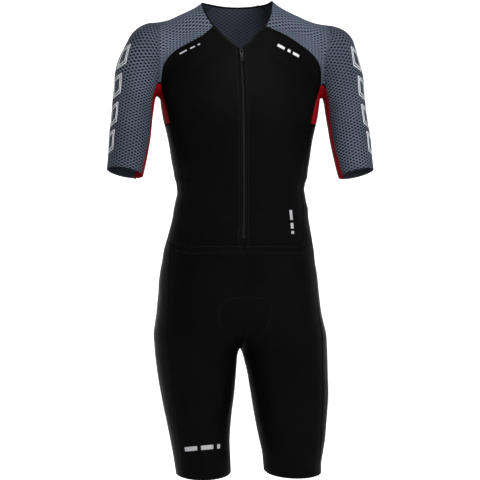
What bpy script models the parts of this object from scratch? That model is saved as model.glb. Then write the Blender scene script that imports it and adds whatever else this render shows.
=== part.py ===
"""A triathlon suit with short legs, elbow sleeves and a front zip, hollow and in its worn form.

Metres, +Z up. The front faces -Y and the wearer's left is +X. The origin is midway between the two neck
points, on the shoulders that hold the suit up.

The outer face of all the cloth is one smooth form: a torso, two arms and two legs, each a stack of
sections, blended together. A seam is a line on that form. A panel is a grid between its four seams, laid on
the form, with the cloth's thickness behind it. Neighbours share their seam's points and both stop half a
gap short.
"""

import math

import bmesh
import bpy
import numpy as np
from mathutils import Matrix, Vector

# ---- Driving dimensions ----------------------------------------------------------------------------------

CLOTH = 0.0015  # wall of every panel
SEAM_GAP = 0.0003  # between neighbouring pieces
GUSSET_Z = -0.2615  # lower edge of the underarm gusset on the body
ARMPIT_Z = -0.176  # where the armhole seam meets the gusset
ARMPIT_SAG = 0.030  # how far the gusset's fold dips below that between front and back

ZIP_TOP_Z = -0.1085
ZIP_BOTTOM_Z = -0.497
ZIP_END = 0.003  # below the zip, where the two front panels' edges come together
ZIP_HALF_WIDTH = 0.0025
ZIP_THICKNESS = 0.0020
ZIP_PROUD = 0.0004  # the teeth stand this far out of the cloth
BINDING_HEIGHT = 0.0036
BINDING_PROUD = 0.0004  # the binding's outer face beyond the cloth's

SLIDER_Z = -0.1170
SLIDER_SIZE = (0.0084, 0.0030, 0.0100)  # across, out of the cloth, along the zip
SLIDER_CLEARANCE = 0.0004
SLIDER_BEVEL = 0.0007
BAIL_WIRE = 0.0007  # radius
BAIL_REACH = 0.0036  # from the slider's face to the far side of the bail
BAIL_SPAN = 0.0062  # between the middles of its two feet
BAIL_ROOT = 0.0008  # how deep its feet go into the slider
BAIL_POINTS = 13
TAB_SIZE = (0.0062, 0.0014, 0.0230)  # across, out of the cloth, along
TAB_CORNER = 0.0022
TAB_EYE = (0.0032, 0.0040)  # across, along
TAB_BAR = 0.0014  # the bar above the eye, which turns inside the bail
TAB_CLEARANCE = 0.0004  # between the tab and the slider's face
TAB_AXIS_Z = -0.0002  # the bar's middle, from the slider's middle

SIDES = {"left": 1, "right": -1}  # the wearer's sides, as signs of x

# ---- The form: short tables, one row for each section ----------------------------------------------------

# z, half width, front, back, squareness (2 is an ellipse)
TORSO = (
    (0.030, 0.064, 0.048, 0.056, 2.0),
    (0.000, 0.073, 0.052, 0.060, 2.0),
    (-0.017, 0.098, 0.057, 0.066, 2.0),
    (-0.034, 0.134, 0.064, 0.074, 2.0),
    (-0.050, 0.160, 0.070, 0.080, 2.0),
    (-0.080, 0.170, 0.080, 0.090, 2.1),
    (-0.110, 0.171, 0.090, 0.100, 2.2),
    (-0.150, 0.168, 0.102, 0.110, 2.3),
    (-0.206, 0.168, 0.112, 0.113, 2.3),
    (-0.248, 0.1617, 0.114, 0.110, 2.3),
    (-0.290, 0.152, 0.109, 0.100, 2.3),
    (-0.344, 0.143, 0.103, 0.089, 2.2),
    (-0.391, 0.1344, 0.100, 0.082, 2.2),
    (-0.424, 0.1386, 0.099, 0.086, 2.2),
    (-0.458, 0.1439, 0.099, 0.093, 2.2),
    (-0.491, 0.1510, 0.100, 0.103, 2.25),
    (-0.525, 0.1585, 0.100, 0.115, 2.25),
    (-0.575, 0.1600, 0.099, 0.127, 2.3),
    (-0.626, 0.1620, 0.097, 0.128, 2.3),
    (-0.676, 0.1630, 0.092, 0.118, 2.3),
    (-0.710, 0.1650, 0.080, 0.098, 2.3),
    (-0.740, 0.1500, 0.060, 0.075, 2.3),
)
TORSO_END_Z = -0.712
TORSO_END_BLEND = 0.050

# z, centre x, centre y, radius
ARM = (
    (-0.107, 0.1830, 0.006, 0.0605),
    (-0.150, 0.2085, 0.004, 0.0520),
    (-0.190, 0.2195, 0.001, 0.0450),
    (-0.230, 0.2245, -0.003, 0.0430),
    (-0.290, 0.2325, -0.010, 0.0430),
    (-0.350, 0.2405, -0.018, 0.0390),
    (-0.380, 0.2455, -0.024, 0.0370),
)
ARM_DEPTH = 1.15  # front to back over side to side
ARM_LINKS = 24

# z, centre x, centre y, half width, half depth
LEGS = {
    "left": (
        (-0.600, 0.0860, 0.012, 0.0730, 0.100),
        (-0.645, 0.0875, 0.012, 0.0800, 0.103),
        (-0.700, 0.0915, 0.008, 0.0905, 0.102),
        (-0.743, 0.0955, 0.004, 0.0890, 0.095),
        (-0.777, 0.0998, 0.002, 0.0850, 0.090),
        (-0.827, 0.1040, -0.002, 0.0810, 0.083),
        (-0.878, 0.1060, -0.006, 0.0746, 0.076),
        (-0.928, 0.1092, -0.010, 0.0672, 0.070),
        (-0.962, 0.1092, -0.012, 0.0609, 0.067),
        (-1.000, 0.1096, -0.014, 0.0603, 0.064),
    ),
    "right": (
        (-0.600, 0.0860, 0.012, 0.0730, 0.100),
        (-0.645, 0.0875, 0.012, 0.0800, 0.103),
        (-0.700, 0.0905, 0.008, 0.0885, 0.102),
        (-0.743, 0.0924, 0.004, 0.0860, 0.095),
        (-0.777, 0.0919, 0.002, 0.0824, 0.090),
        (-0.827, 0.0903, -0.002, 0.0756, 0.083),
        (-0.878, 0.0882, -0.006, 0.0672, 0.076),
        (-0.928, 0.0840, -0.010, 0.0610, 0.070),
        (-0.962, 0.0798, -0.012, 0.0588, 0.067),
        (-1.000, 0.0770, -0.014, 0.0567, 0.064),
    ),
}
LEG_SQUARENESS = 2.1
LEG_TOP_Z = -0.560
LEG_TOP_BLEND = 0.040
CROTCH_BLEND = 0.006
HIP_BLEND = 0.030

# z, blend of arm and torso
SHOULDER_BLEND = ((-0.120, 0.035), (-0.180, 0.012))

# z, how far the finished suit leans to +x at that height
LEAN = (
    (0.030, -0.005),
    (0.000, -0.004),
    (-0.034, -0.001),
    (-0.060, 0.004),
    (-0.080, 0.004),
    (-0.110, 0.001),
    (-0.200, 0.000),
    (-0.350, 0.001),
    (-0.450, 0.001),
    (-0.550, -0.003),
    (-0.630, -0.002),
    (-0.700, 0.000),
    (-1.000, 0.000),
)

# ---- The seams: short tables, one row for each turn of the line ------------------------------------------

# z, how far the zip lies to +x of the form's middle
ZIP_SHIFT = (
    (ZIP_TOP_Z, -0.0078),
    (-0.208, -0.0056),
    (-0.300, -0.0041),
    (-0.400, -0.0034),
    (-0.500, -0.0030),
)
# z, how far the front and the side of the neck lie to +x of it
NECK_SHIFT = (
    (0.005, -0.0030),
    (-0.005, -0.0050),
    (-0.020, -0.0065),
    (-0.040, -0.0090),
    (-0.060, -0.0130),
    (-0.077, -0.0135),
    (-0.094, -0.0115),
    (ZIP_TOP_Z, -0.0078),
)
NECK_SHIFT_FADE = (-0.020, 0.030)  # y: forward of the first in full, behind the second not at all
# x, z on the front: the neck's V, from the zip to the raglan seam
NECK_FRONT = (
    (ZIP_HALF_WIDTH + SEAM_GAP / 2, ZIP_TOP_Z),
    (0.0215, -0.094),
    (0.0365, -0.077),
    (0.052, -0.061),
)
# degrees from the front, z: the neck's side after the front raglan seam, up to the back raglan seam
NECK_SIDE = {
    "left": (
        (45.0, -0.043),
        (54.7, -0.024),
        (65.2, -0.010),
        (80.0, -0.001),
        (92.0, 0.002),
        (112.0, 0.001),
        (133.0, 0.000),
    ),
    "right": (
        (45.0, -0.044),
        (54.7, -0.026),
        (65.2, -0.0125),
        (80.0, -0.004),
        (92.0, -0.001),
        (112.0, 0.000),
        (133.0, 0.000),
    ),
}
# degrees from the front, z: the back of the neck
NECK_BACK = ((148.0, -0.001), (164.0, -0.0018), (180.0, -0.002))
# x, z on the front and on the back: the raglan seams after the neck
RAGLAN_FRONT = (
    (0.0840, -0.0800),
    (0.1130, -0.0970),
    (0.1390, -0.1135),
    (0.1560, -0.1315),
    (0.1645, -0.1500),
    (0.1670, ARMPIT_Z),
)
RAGLAN_BACK = ((0.075, -0.040), (0.105, -0.075), (0.135, -0.108), (0.156, -0.138), (0.166, ARMPIT_Z))
# z, x: the plane of the armhole seam
ARMHOLE = ((ARMPIT_Z, 0.1745), (-0.133, 0.171), (-0.090, 0.177), (-0.046, 0.180))
ARMHOLE_PIVOT = (0.005, -0.1228)  # y, z
# x, z on the front and on the back: the gusset's edges on the body, after the armpit
GUSSET_EDGE = {
    "left": ((0.1545, -0.205), (0.1455, -0.236), (0.1405, GUSSET_Z)),
    "right": ((0.1630, -0.205), (0.1548, -0.236), (0.1505, GUSSET_Z)),
}
# part of the way from armhole to cuff; x and z where the sleeve's cross plane meets its outer side, and
# where it meets its underside; y of the plane's middle; its rise to the front
SLEEVE_PLANES = (
    (0.000, 0.1765, -0.0455, 0.1745, -0.2000, 0.0050, 0.00),
    (0.125, 0.2180, -0.0595, 0.1800, -0.2205, 0.0045, 0.02),
    (0.250, 0.2418, -0.0950, 0.1825, -0.2410, 0.0030, 0.04),
    (0.375, 0.2568, -0.1355, 0.1850, -0.2605, 0.0005, 0.07),
    (0.500, 0.2637, -0.1790, 0.1877, -0.2810, -0.0030, 0.10),
    (0.625, 0.2674, -0.2230, 0.1908, -0.3015, -0.0065, 0.13),
    (0.750, 0.2725, -0.2662, 0.1944, -0.3215, -0.0105, 0.16),
    (0.875, 0.2768, -0.3096, 0.1987, -0.3420, -0.0148, 0.18),
    (1.000, 0.2799, -0.3530, 0.2045, -0.3680, -0.0195, 0.19),
)
# degrees round the cuff, 0 outward and 90 at the front: the gusset's two edges
CUFF_GUSSET = {"front": 150.0, "back": 238.0}
GUSSET_TUCK = 14.0  # degrees that its edges draw together between the armpit and the cuff
# degrees from the front, z: the side panel's seams below the gusset
SIDE_SEAM = {
    "front": ((70.0, -0.330), (69.0, -0.390), (66.5, -0.450), (63.0, -0.490), (57.5, -0.520)),
    "back": ((112.0, -0.330), (112.0, -0.390), (114.0, -0.450), (120.0, -0.4945)),
}
# degrees from the front, z
WAIST = (
    (0.0, -0.5200),
    (45.0, -0.5200),
    (57.5, -0.5200),
    (70.0, -0.5120),
    (90.0, -0.5000),
    (120.0, -0.4945),
    (180.0, -0.4920),
)
# degrees round the leg, 0 outward and 90 at the front, z
HEM = ((-180.0, -0.981), (-90.0, -0.985), (0.0, -0.986), (90.0, -0.991), (180.0, -0.981))
# z, degrees round the leg: the outer strip's front edge
STRIP_FRONT = (
    (-0.500, 36.0),
    (-0.620, 42.0),
    (-0.720, 44.0),
    (-0.800, 46.0),
    (-0.900, 44.0),
    (-0.990, 40.0),
)
STRIP_FRONT_SHIFT = {"left": -5.0, "right": 5.0}
STRIP_BACK_DEGREES = -40.0
CROTCH_PIVOT = (0.005, -0.640)  # y, z of the fan that draws the centre seam

# ---- How many stretches each seam is cut into, the same on both of its panels ----------------------------

NECK_FRONT_STEPS = 3
NECK_OVER_STEPS = 8
NECK_BACK_STEPS = 3
RAGLAN_STEPS = 7
YOKE_STEPS = 6
SLEEVE_STEPS = 16
GUSSET_WIDTH_STEPS = 8
GUSSET_EDGE_STEPS = 5
SIDE_SEAM_STEPS = 12
WAIST_BESIDE_STRIP_STEPS = 2
STRIP_STEPS = 4
CENTRE_SEAM_STEPS = 12
INSEAM_STEPS = 10
CROTCH_CROWD = 1.3  # over 1, the steps of both grow shorter towards the crotch
ZIP_STEPS = 40
ARMHOLE_STEPS = 2 * RAGLAN_STEPS + NECK_OVER_STEPS
BODY_FRONT_STEPS = NECK_FRONT_STEPS + RAGLAN_STEPS
BODY_SIDE_STEPS = GUSSET_EDGE_STEPS + SIDE_SEAM_STEPS
LEG_PANEL_STEPS = BODY_FRONT_STEPS + WAIST_BESIDE_STRIP_STEPS
LEG_STEPS = CENTRE_SEAM_STEPS + INSEAM_STEPS
LINE_POINTS = 121  # a seam is drawn with this many points before it is cut into steps

# ---- Finishes: colour, roughness, metallic ---------------------------------------------------------------

BLACK_KNIT = ((0.006, 0.006, 0.007), 0.62, 0.0)
SHEEN_KNIT = ((0.010, 0.010, 0.011), 0.45, 0.0)
GREY_MESH = ((0.062, 0.083, 0.118), 0.80, 0.0)
RED_KNIT = ((0.270, 0.004, 0.010), 0.65, 0.0)
BINDING = ((0.008, 0.008, 0.009), 0.70, 0.0)
ZIP_TEETH = ((0.012, 0.012, 0.013), 0.50, 0.0)
DARK_METAL = ((0.050, 0.050, 0.055), 0.35, 1.0)


# ---- Smooth curves ---------------------------------------------------------------------------------------


def smooth_rows(table, at):
    """Each column of a table at some values of its first column, along smooth curves through the rows."""
    rows = np.array(table, float)
    rows = rows[rows[:, 0].argsort()]
    knots, columns = rows[:, 0], rows[:, 1:]
    slopes = np.gradient(columns, knots, axis=0)
    at = np.clip(np.atleast_1d(at), knots[0], knots[-1])
    left = np.clip(np.searchsorted(knots, at, side="right") - 1, 0, len(knots) - 2)
    step = (knots[left + 1] - knots[left])[:, None]
    t = (at - knots[left])[:, None] / step
    return (
        (1 + 2 * t) * (1 - t) ** 2 * columns[left]
        + t * (1 - t) ** 2 * step * slopes[left]
        + t**2 * (3 - 2 * t) * columns[left + 1]
        + t**2 * (t - 1) * step * slopes[left + 1]
    )


def smooth_line(rows):
    """A smooth line through a few rows, as LINE_POINTS rows."""
    numbered = np.column_stack([np.arange(len(rows)), np.array(rows, float)])
    return smooth_rows(numbered, np.linspace(0, len(rows) - 1, LINE_POINTS))


def unit(vectors):
    return vectors / np.linalg.norm(vectors, axis=-1, keepdims=True)


# ---- The form --------------------------------------------------------------------------------------------


def smooth_min(a, b, blend):
    near = np.clip(1 - np.abs(a - b) / blend, 0, 1)
    return np.minimum(a, b) - near**2 * blend / 4


def smooth_max(a, b, blend):
    return -smooth_min(-a, -b, blend)


def section_field(x, y, half_width, front, back, squareness):
    """How far points lie outside a section with its centre at 0, 0, along the ray from that centre."""
    depth = np.where(y < 0, front, back)
    ratio = (np.abs(x) / half_width) ** squareness + (np.abs(y) / depth) ** squareness
    reach = np.hypot(x, y)
    return reach - reach / (ratio + 1e-9) ** (1 / squareness)


def torso_field(points):
    x, y, z = points.T
    sides = section_field(x, y, *smooth_rows(TORSO, z).T)
    return smooth_max(sides, TORSO_END_Z - z, TORSO_END_BLEND)


def arm_chain():
    """The middle of the arm as a chain of points, and the radius at each."""
    z = np.linspace(ARM[0][0], ARM[-1][0], ARM_LINKS + 1)
    x, y, radius = smooth_rows(ARM, z).T
    return np.column_stack([x, y / ARM_DEPTH, z]), radius


def arm_field(points):
    """How far points lie outside the nearer arm, a chain of tapered links."""
    middle, radius = arm_chain()
    start, link = middle[:-1], np.diff(middle, axis=0)
    x, y, z = points.T
    from_start = np.column_stack([np.abs(x), y / ARM_DEPTH, z])[:, None, :] - start
    along = np.clip((from_start * link).sum(axis=2) / (link**2).sum(axis=1), 0, 1)
    away = np.linalg.norm(from_start - along[:, :, None] * link, axis=2)
    return (away - radius[:-1] - along * np.diff(radius)).min(axis=1)


def leg_axis(side, z):
    """Centre x and y of a leg at some heights."""
    x, y, _, _ = smooth_rows(LEGS[side], z).T
    return SIDES[side] * x, y


def leg_field(side, points):
    x, y, z = points.T
    centre_x, centre_y = leg_axis(side, z)
    _, _, half_width, half_depth = smooth_rows(LEGS[side], z).T
    sides = section_field(x - centre_x, y - centre_y, half_width, half_depth, half_depth, LEG_SQUARENESS)
    return smooth_max(sides, z - LEG_TOP_Z, LEG_TOP_BLEND)


def form_field(points):
    """Below zero inside the suit's outer face, zero on it."""
    blend = smooth_rows(SHOULDER_BLEND, points[:, 2])[:, 0]
    body = smooth_min(torso_field(points), arm_field(points), blend)
    legs = smooth_min(leg_field("left", points), leg_field("right", points), CROTCH_BLEND)
    return smooth_min(body, legs, HIP_BLEND)


def form_gradient(points, step=2e-4):
    axes = np.eye(3) * step
    return np.column_stack([form_field(points + a) - form_field(points - a) for a in axes]) / (2 * step)


def form_normal(points):
    return unit(form_gradient(points))


def settle(points, rounds=8):
    """Moves points along the form's normals until they lie on its surface."""
    for _ in range(rounds):
        gradient = form_gradient(points)
        points = points - gradient * (form_field(points) / (gradient**2).sum(axis=1))[:, None]
    return points


def cast(origins, directions, reach=0.40, steps=200):
    """Where each ray first crosses the form's surface."""
    origins, directions = np.broadcast_arrays(np.atleast_2d(origins), np.atleast_2d(unit(directions)))
    distances = np.linspace(1e-4, reach, steps)
    places = origins[:, None, :] + distances[None, :, None] * directions[:, None, :]
    inside = form_field(places.reshape(-1, 3)).reshape(len(origins), steps) < 0
    crossed = inside[:, 1:] != inside[:, :-1]
    if not crossed.any(axis=1).all():
        raise ValueError("a ray misses the form")
    first = crossed.argmax(axis=1)
    near, far = distances[first], distances[first + 1]
    starts_inside = inside[np.arange(len(origins)), first]
    for _ in range(24):
        middle = (near + far) / 2
        before = (form_field(origins + middle[:, None] * directions) < 0) == starts_inside
        near, far = np.where(before, middle, near), np.where(before, far, middle)
    return origins + near[:, None] * directions


def cast_front(side, x, z):
    """Points on the front of the form at some x and z."""
    x = SIDES[side] * np.asarray(x)
    return cast(np.column_stack([x, np.full_like(x, -0.30), z]), np.array([0.0, 1.0, 0.0]))


def shift(table, z):
    return smooth_rows(table, z)[:, 0]


def cast_zip(x, z):
    """Points on the front at some x from the zip's middle line, +x to the wearer's left, and some z."""
    return cast_front("left", x + shift(ZIP_SHIFT, z), z)


def cast_back(side, x, z):
    """Points on the back of the form at some x and z."""
    x = SIDES[side] * np.asarray(x)
    return cast(np.column_stack([x, np.full_like(x, 0.30), z]), np.array([0.0, -1.0, 0.0]))


def cast_round(side, degrees, z):
    """Points round the body, by degrees from the front and height."""
    angle = np.radians(degrees)
    outward = np.column_stack([SIDES[side] * np.sin(angle), -np.cos(angle), np.zeros_like(angle)])
    return cast(np.column_stack([np.zeros_like(z), np.zeros_like(z), z]), outward)


def degrees_round(side, point):
    """Degrees from the front of a point on the body."""
    return math.degrees(math.atan2(SIDES[side] * point[0], -point[1]))


# ---- Seams: lines on the form ----------------------------------------------------------------------------


def progress(line):
    """How far along a line each of its points lies, from 0 to 1."""
    run = np.r_[0, np.cumsum(np.linalg.norm(np.diff(line, axis=0), axis=1))]
    return run / run[-1]


def cut(line, steps, crowd=1.0):
    """A line cut into steps and settled on the form, ends kept. A crowd over 1 shortens the first steps."""
    places = np.linspace(0, 1, steps + 1) ** crowd
    points = np.column_stack([np.interp(places, progress(line), column) for column in line.T])
    points[1:-1] = settle(points[1:-1])
    return points


def join(*lines):
    """Lines end to end, without the doubled points."""
    return np.concatenate([lines[0], *(line[1:] for line in lines[1:])])


def neck_seams(side):
    """The neck edge in three stretches: zip to front raglan, over the side, back raglan to centre back."""
    x, z = smooth_line(NECK_FRONT).T
    front = cast_front("left", SIDES[side] * x + shift(NECK_SHIFT, z), z)
    corner = (degrees_round(side, cast_front(side, x[-1:], z[-1:])[0]), z[-1])
    over = cast_round(side, *smooth_line((corner, *NECK_SIDE[side])).T)
    full, none = NECK_SHIFT_FADE
    share = np.clip((none - over[:, 1]) / (none - full), 0, 1)
    over[:, 0] += share * shift(NECK_SHIFT, over[:, 2])
    over = settle(over)
    over[0] = front[-1]
    back = cast_round(side, *smooth_line((NECK_SIDE[side][-1], *NECK_BACK)).T)
    back[0] = over[-1]
    return front, over, back


def raglan_seam(side, start, rows, caster):
    x, z = smooth_line(((SIDES[side] * start[0], start[2]), *rows)).T
    line = caster(side, x, z)
    line[0] = start
    return line


def cast_from_pivot(x, turns):
    """Points round the armhole's axis. A turn of 0 is straight down, a quarter is forward, a half is up."""
    pivot_y, pivot_z = ARMHOLE_PIVOT
    directions = np.column_stack([np.zeros_like(turns), -np.sin(turns), -np.cos(turns)])
    return cast(np.column_stack([x, np.full_like(x, pivot_y), np.full_like(x, pivot_z)]), directions)


def turns_of(points):
    pivot_y, pivot_z = ARMHOLE_PIVOT
    return np.unwrap(np.arctan2(pivot_y - points[:, 1], pivot_z - points[:, 2]))


def armhole_points(side, turns):
    heights = np.full_like(turns, ARMHOLE_PIVOT[1])
    for _ in range(5):
        points = cast_from_pivot(SIDES[side] * smooth_rows(ARMHOLE, heights)[:, 0], turns)
        heights = points[:, 2]
    return points


def armhole_seams(side):
    """The armhole over the shoulder, from the gusset's front corner to its back one, and the rest below."""
    turns = np.linspace(0, math.pi, LINE_POINTS)
    front_turn = np.interp(ARMPIT_Z, armhole_points(side, turns)[:, 2], turns)
    back_turn = -np.interp(ARMPIT_Z, armhole_points(side, -turns)[:, 2], turns)
    over = armhole_points(side, np.linspace(front_turn, 2 * math.pi + back_turn, LINE_POINTS))
    under = armhole_points(side, np.linspace(front_turn, back_turn, LINE_POINTS))
    under[0], under[-1] = over[0], over[-1]
    return over, under


def cut_beside(side, armhole, inner):
    """The armhole cut into the steps of the yoke's inner edge, each at about the same turn."""
    turns, ends = turns_of(inner), turns_of(armhole)[[0, -1]]
    share = (turns - turns[0]) / (turns[-1] - turns[0])
    points = armhole_points(side, ends[0] + share * (ends[1] - ends[0]))
    points[0], points[-1] = armhole[0], armhole[-1]
    return points


def sleeve_ring(side, along, degrees):
    """Points round the sleeve, 0 outward and 90 at the front, at a part of the way from armhole to cuff."""
    over_x, over_z, under_x, under_z, y, rise = smooth_rows(SLEEVE_PLANES, along)[0]
    middle = np.array([SIDES[side] * (over_x + under_x) / 2, y, (over_z + under_z) / 2])
    outward = unit(np.array([SIDES[side] * (over_x - under_x), 0.0, over_z - under_z]))
    forward = np.array([0.0, -1.0, rise])
    angle = np.radians(degrees)[:, None]
    return cast(middle, np.cos(angle) * outward + np.sin(angle) * forward)


def sleeve_grid(side, top, cuff_degrees):
    """Rings from the armhole's points down to the cuff's degrees."""
    top_degrees = 180 - np.degrees(turns_of(top))
    tuck = np.linspace(GUSSET_TUCK, -GUSSET_TUCK, len(top))
    rings = [top]
    for way in np.linspace(0, 1, SLEEVE_STEPS + 1)[1:]:
        degrees = (1 - way) * top_degrees + way * cuff_degrees + math.sin(math.pi * way**0.6) * tuck
        rings.append(sleeve_ring(side, way, degrees))
    return np.stack(rings)


def gusset_edge(side, start, caster):
    x, z = smooth_line(((SIDES[side] * start[0], start[2]), *GUSSET_EDGE[side])).T
    line = caster(side, x, z)
    line[0] = start
    return line


def armpit_fold(front, back):
    """The gusset's fold under the arm, on the body's side of it."""
    t = np.linspace(0, 1, LINE_POINTS)[:, None]
    line = front + (back - front) * t
    line[:, 2] -= ARMPIT_SAG * np.sin(math.pi * t[:, 0])
    line[1:-1] = settle(line[1:-1])
    return line


def gusset_hem(side, front, back):
    """The gusset's lower edge round the body's side."""
    degrees = np.linspace(degrees_round(side, front), degrees_round(side, back), LINE_POINTS)
    line = cast_round(side, degrees, np.linspace(front[2], back[2], LINE_POINTS))
    line[0], line[-1] = front, back
    return line


def side_seam(side, start, rows, end):
    degrees, z = smooth_line(((degrees_round(side, start), start[2]), *rows)).T
    line = cast_round(side, degrees, z)
    line[0], line[-1] = start, end
    return line


def zip_edge(side, top, waist):
    """A front panel's middle edge: beside the zip, round its end, then along the middle."""
    beside = np.linspace(top[2], ZIP_BOTTOM_Z, BODY_SIDE_STEPS - 1)
    line = cast_zip(np.full(len(beside), SIDES[side] * NECK_FRONT[0][0]), beside)
    below = cast_zip(np.zeros(1), np.array([ZIP_BOTTOM_Z - ZIP_END]))
    line[0] = top
    return np.concatenate([line, below, waist[None]])


def waist_points(side, degrees):
    heights = smooth_rows(WAIST, degrees)[:, 0]
    return cast_round(side, np.asarray(degrees, float), heights)


def leg_degrees(side, points, wrap_from):
    """Degrees round the leg, 0 outward and 90 at the front, between wrap_from and a full turn more."""
    x, y = leg_axis(side, points[:, 2])
    degrees = np.degrees(np.arctan2(y - points[:, 1], SIDES[side] * (points[:, 0] - x)))
    return (degrees - wrap_from) % 360 + wrap_from


def leg_points(side, heights, degrees):
    x, y = leg_axis(side, heights)
    angle = np.radians(degrees)
    outward = np.column_stack([SIDES[side] * np.cos(angle), -np.sin(angle), np.zeros_like(angle)])
    return cast(np.column_stack([x, y, heights]), outward)


def strip_front_degrees(side, heights):
    return smooth_rows(STRIP_FRONT, heights)[:, 0] + STRIP_FRONT_SHIFT[side]


def strip_back_degrees(_, heights):
    return np.full(len(heights), STRIP_BACK_DEGREES)


def waist_seams(side):
    """The waist seam in five stretches, from centre front to centre back."""
    turn = np.linspace(0, 180, 4 * LINE_POINTS)
    line = waist_points(side, turn)
    around_leg = leg_degrees(side, line, -180.0)
    marks = [0.0, SIDE_SEAM["front"][-1][0]]
    for edge_degrees in (strip_front_degrees, strip_back_degrees):
        past = around_leg - edge_degrees(side, line[:, 2])
        beyond = np.flatnonzero((past[1:] <= 0) & (past[:-1] > 0))[0]
        marks.append(np.interp(0.0, past[[beyond + 1, beyond]], turn[[beyond + 1, beyond]]))
    marks += [SIDE_SEAM["back"][-1][0], 180.0]
    return [waist_points(side, np.linspace(a, b, LINE_POINTS)) for a, b in zip(marks, marks[1:])]


def hem_heights(degrees):
    return smooth_rows(HEM, degrees)[:, 0]


def hem_degrees(side, edge_degrees):
    """Degrees round the leg at which a strip edge meets the hem."""
    degrees = 0.0
    for _ in range(4):
        degrees = float(edge_degrees(side, hem_heights(degrees))[0])
    return degrees


def strip_edge(side, start, edge_degrees):
    end = hem_heights(hem_degrees(side, edge_degrees))[0]
    heights = np.linspace(start[2], end, LINE_POINTS)
    line = leg_points(side, heights, edge_degrees(side, heights))
    line[0] = start
    return line


def centre_seam(start):
    """The seam on the middle plane, from the waist down and under to the crotch."""
    pivot_y, pivot_z = CROTCH_PIVOT
    facing = math.copysign(1, start[1])
    first = math.atan2(start[2] - pivot_z, facing * (start[1] - pivot_y))
    angle = np.linspace(first, -math.pi / 2, LINE_POINTS)
    directions = np.column_stack([np.zeros_like(angle), facing * np.cos(angle), np.sin(angle)])
    line = cast(np.array([0.0, pivot_y, pivot_z]), directions)
    line[0] = start
    return line


def inseam(side, crotch):
    drop = np.linspace(0.06, 1, LINE_POINTS - 1) ** 2
    heights = crotch[2] + (hem_heights(180.0)[0] - crotch[2]) * drop
    line = leg_points(side, heights, np.full(len(heights), 180.0))
    return np.concatenate([crotch[None], line])


def hem_edge(side, from_degrees, to_degrees):
    degrees = np.linspace(from_degrees, to_degrees, LINE_POINTS)
    return leg_points(side, hem_heights(degrees), degrees)


# ---- Grids of points between seams -----------------------------------------------------------------------


def spacing(top, bottom, left, right):
    """How far down and across the rows and columns between four edges lie, from the edges' own points."""
    return (progress(left) + progress(right)) / 2, (progress(top) + progress(bottom)) / 2


def fill(down, across, top, bottom, left, right):
    """A grid between four edges that share their corners, in any coordinates."""
    down, across = down[:, None, None], across[None, :, None]
    ruled_down = (1 - down) * top[None] + down * bottom[None]
    ruled_across = (1 - across) * left[:, None] + across * right[:, None]
    corners = (1 - down) * ((1 - across) * top[0] + across * top[-1]) + down * (
        (1 - across) * bottom[0] + across * bottom[-1]
    )
    return ruled_down + ruled_across - corners


def settle_inside(grid, edges):
    """Settles a grid's points on the form, apart from those of its four edges, which keep their own."""
    grid[0], grid[-1], grid[:, 0], grid[:, -1] = edges
    inner = grid[1:-1, 1:-1]
    grid[1:-1, 1:-1] = settle(inner.reshape(-1, 3)).reshape(inner.shape)
    return grid


def body_grid(side, *edges):
    """A grid filled in degrees round the body, height and reach, and settled on the form."""

    def polar(points):
        degrees = np.degrees(np.arctan2(SIDES[side] * points[:, 0], -points[:, 1]))
        reach = np.hypot(points[:, 0], points[:, 1])
        return np.column_stack([(degrees + 90) % 360 - 90, points[:, 2], reach])

    degrees, z, reach = np.moveaxis(fill(*spacing(*edges), *map(polar, edges)), 2, 0)
    angle = np.radians(degrees)
    grid = np.stack([SIDES[side] * reach * np.sin(angle), -reach * np.cos(angle), z], axis=2)
    return settle_inside(grid, edges)


def leg_grid(side, wrap_from, *edges):
    """A grid filled in degrees round the leg, height and reach, and settled on the form."""

    def polar(points):
        x, y = leg_axis(side, points[:, 2])
        reach = np.hypot(points[:, 0] - x, points[:, 1] - y)
        return np.column_stack([leg_degrees(side, points, wrap_from), points[:, 2], reach])

    degrees, z, reach = np.moveaxis(fill(*spacing(*edges), *map(polar, edges)), 2, 0)
    angle = np.radians(degrees)
    x, y = (axis.reshape(z.shape) for axis in leg_axis(side, z.ravel()))
    grid = np.stack([x + SIDES[side] * reach * np.cos(angle), y - reach * np.sin(angle), z], axis=2)
    return settle_inside(grid, edges)


def yoke_grid(side, inner, armhole):
    """Rows from the raglan seams and the neck out to the armhole, its columns in planes round its axis."""
    inner_turns, armhole_turns = turns_of(inner), turns_of(armhole)
    ways = np.linspace(0, 1, YOKE_STEPS + 1)[:, None]
    x = (1 - ways) * inner[:, 0] + ways * armhole[:, 0]
    turns = (1 - ways) * inner_turns + ways * armhole_turns
    grid = cast_from_pivot(x.ravel(), turns.ravel()).reshape(*x.shape, 3)
    tips = [inner[end] + ways * (armhole[end] - inner[end]) for end in (0, -1)]
    grid[0], grid[-1], grid[:, 0], grid[:, -1] = inner, armhole, *tips
    return grid


def plain_grid(*edges):
    """A grid filled in space in even rows and columns, and settled on the form."""
    down, across = (np.linspace(0, 1, len(edge)) for edge in (edges[2], edges[0]))
    return settle_inside(fill(down, across, *edges), edges)


# ---- Solids ----------------------------------------------------------------------------------------------


def clear_scene():
    for obj in list(bpy.data.objects):
        bpy.data.objects.remove(obj, do_unlink=True)


def dress(obj, finish):
    """Gives an object its own material and smooth shading with its creases kept."""
    colour, roughness, metallic = finish
    material = bpy.data.materials.new(obj.name)
    material.use_nodes = True
    shader = material.node_tree.nodes["Principled BSDF"]
    shader.inputs["Base Color"].default_value = (*colour, 1.0)
    shader.inputs["Roughness"].default_value = roughness
    shader.inputs["Metallic"].default_value = metallic
    obj.data.materials.append(material)
    obj.data.shade_smooth()
    obj.data.set_sharp_from_angle(angle=math.radians(40))


def leaned(points):
    """Points of the upright form, moved sideways to where the suit hangs."""
    moved = points.copy()
    moved[:, 0] += smooth_rows(LEAN, points[:, 2])[:, 0]
    return moved


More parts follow.
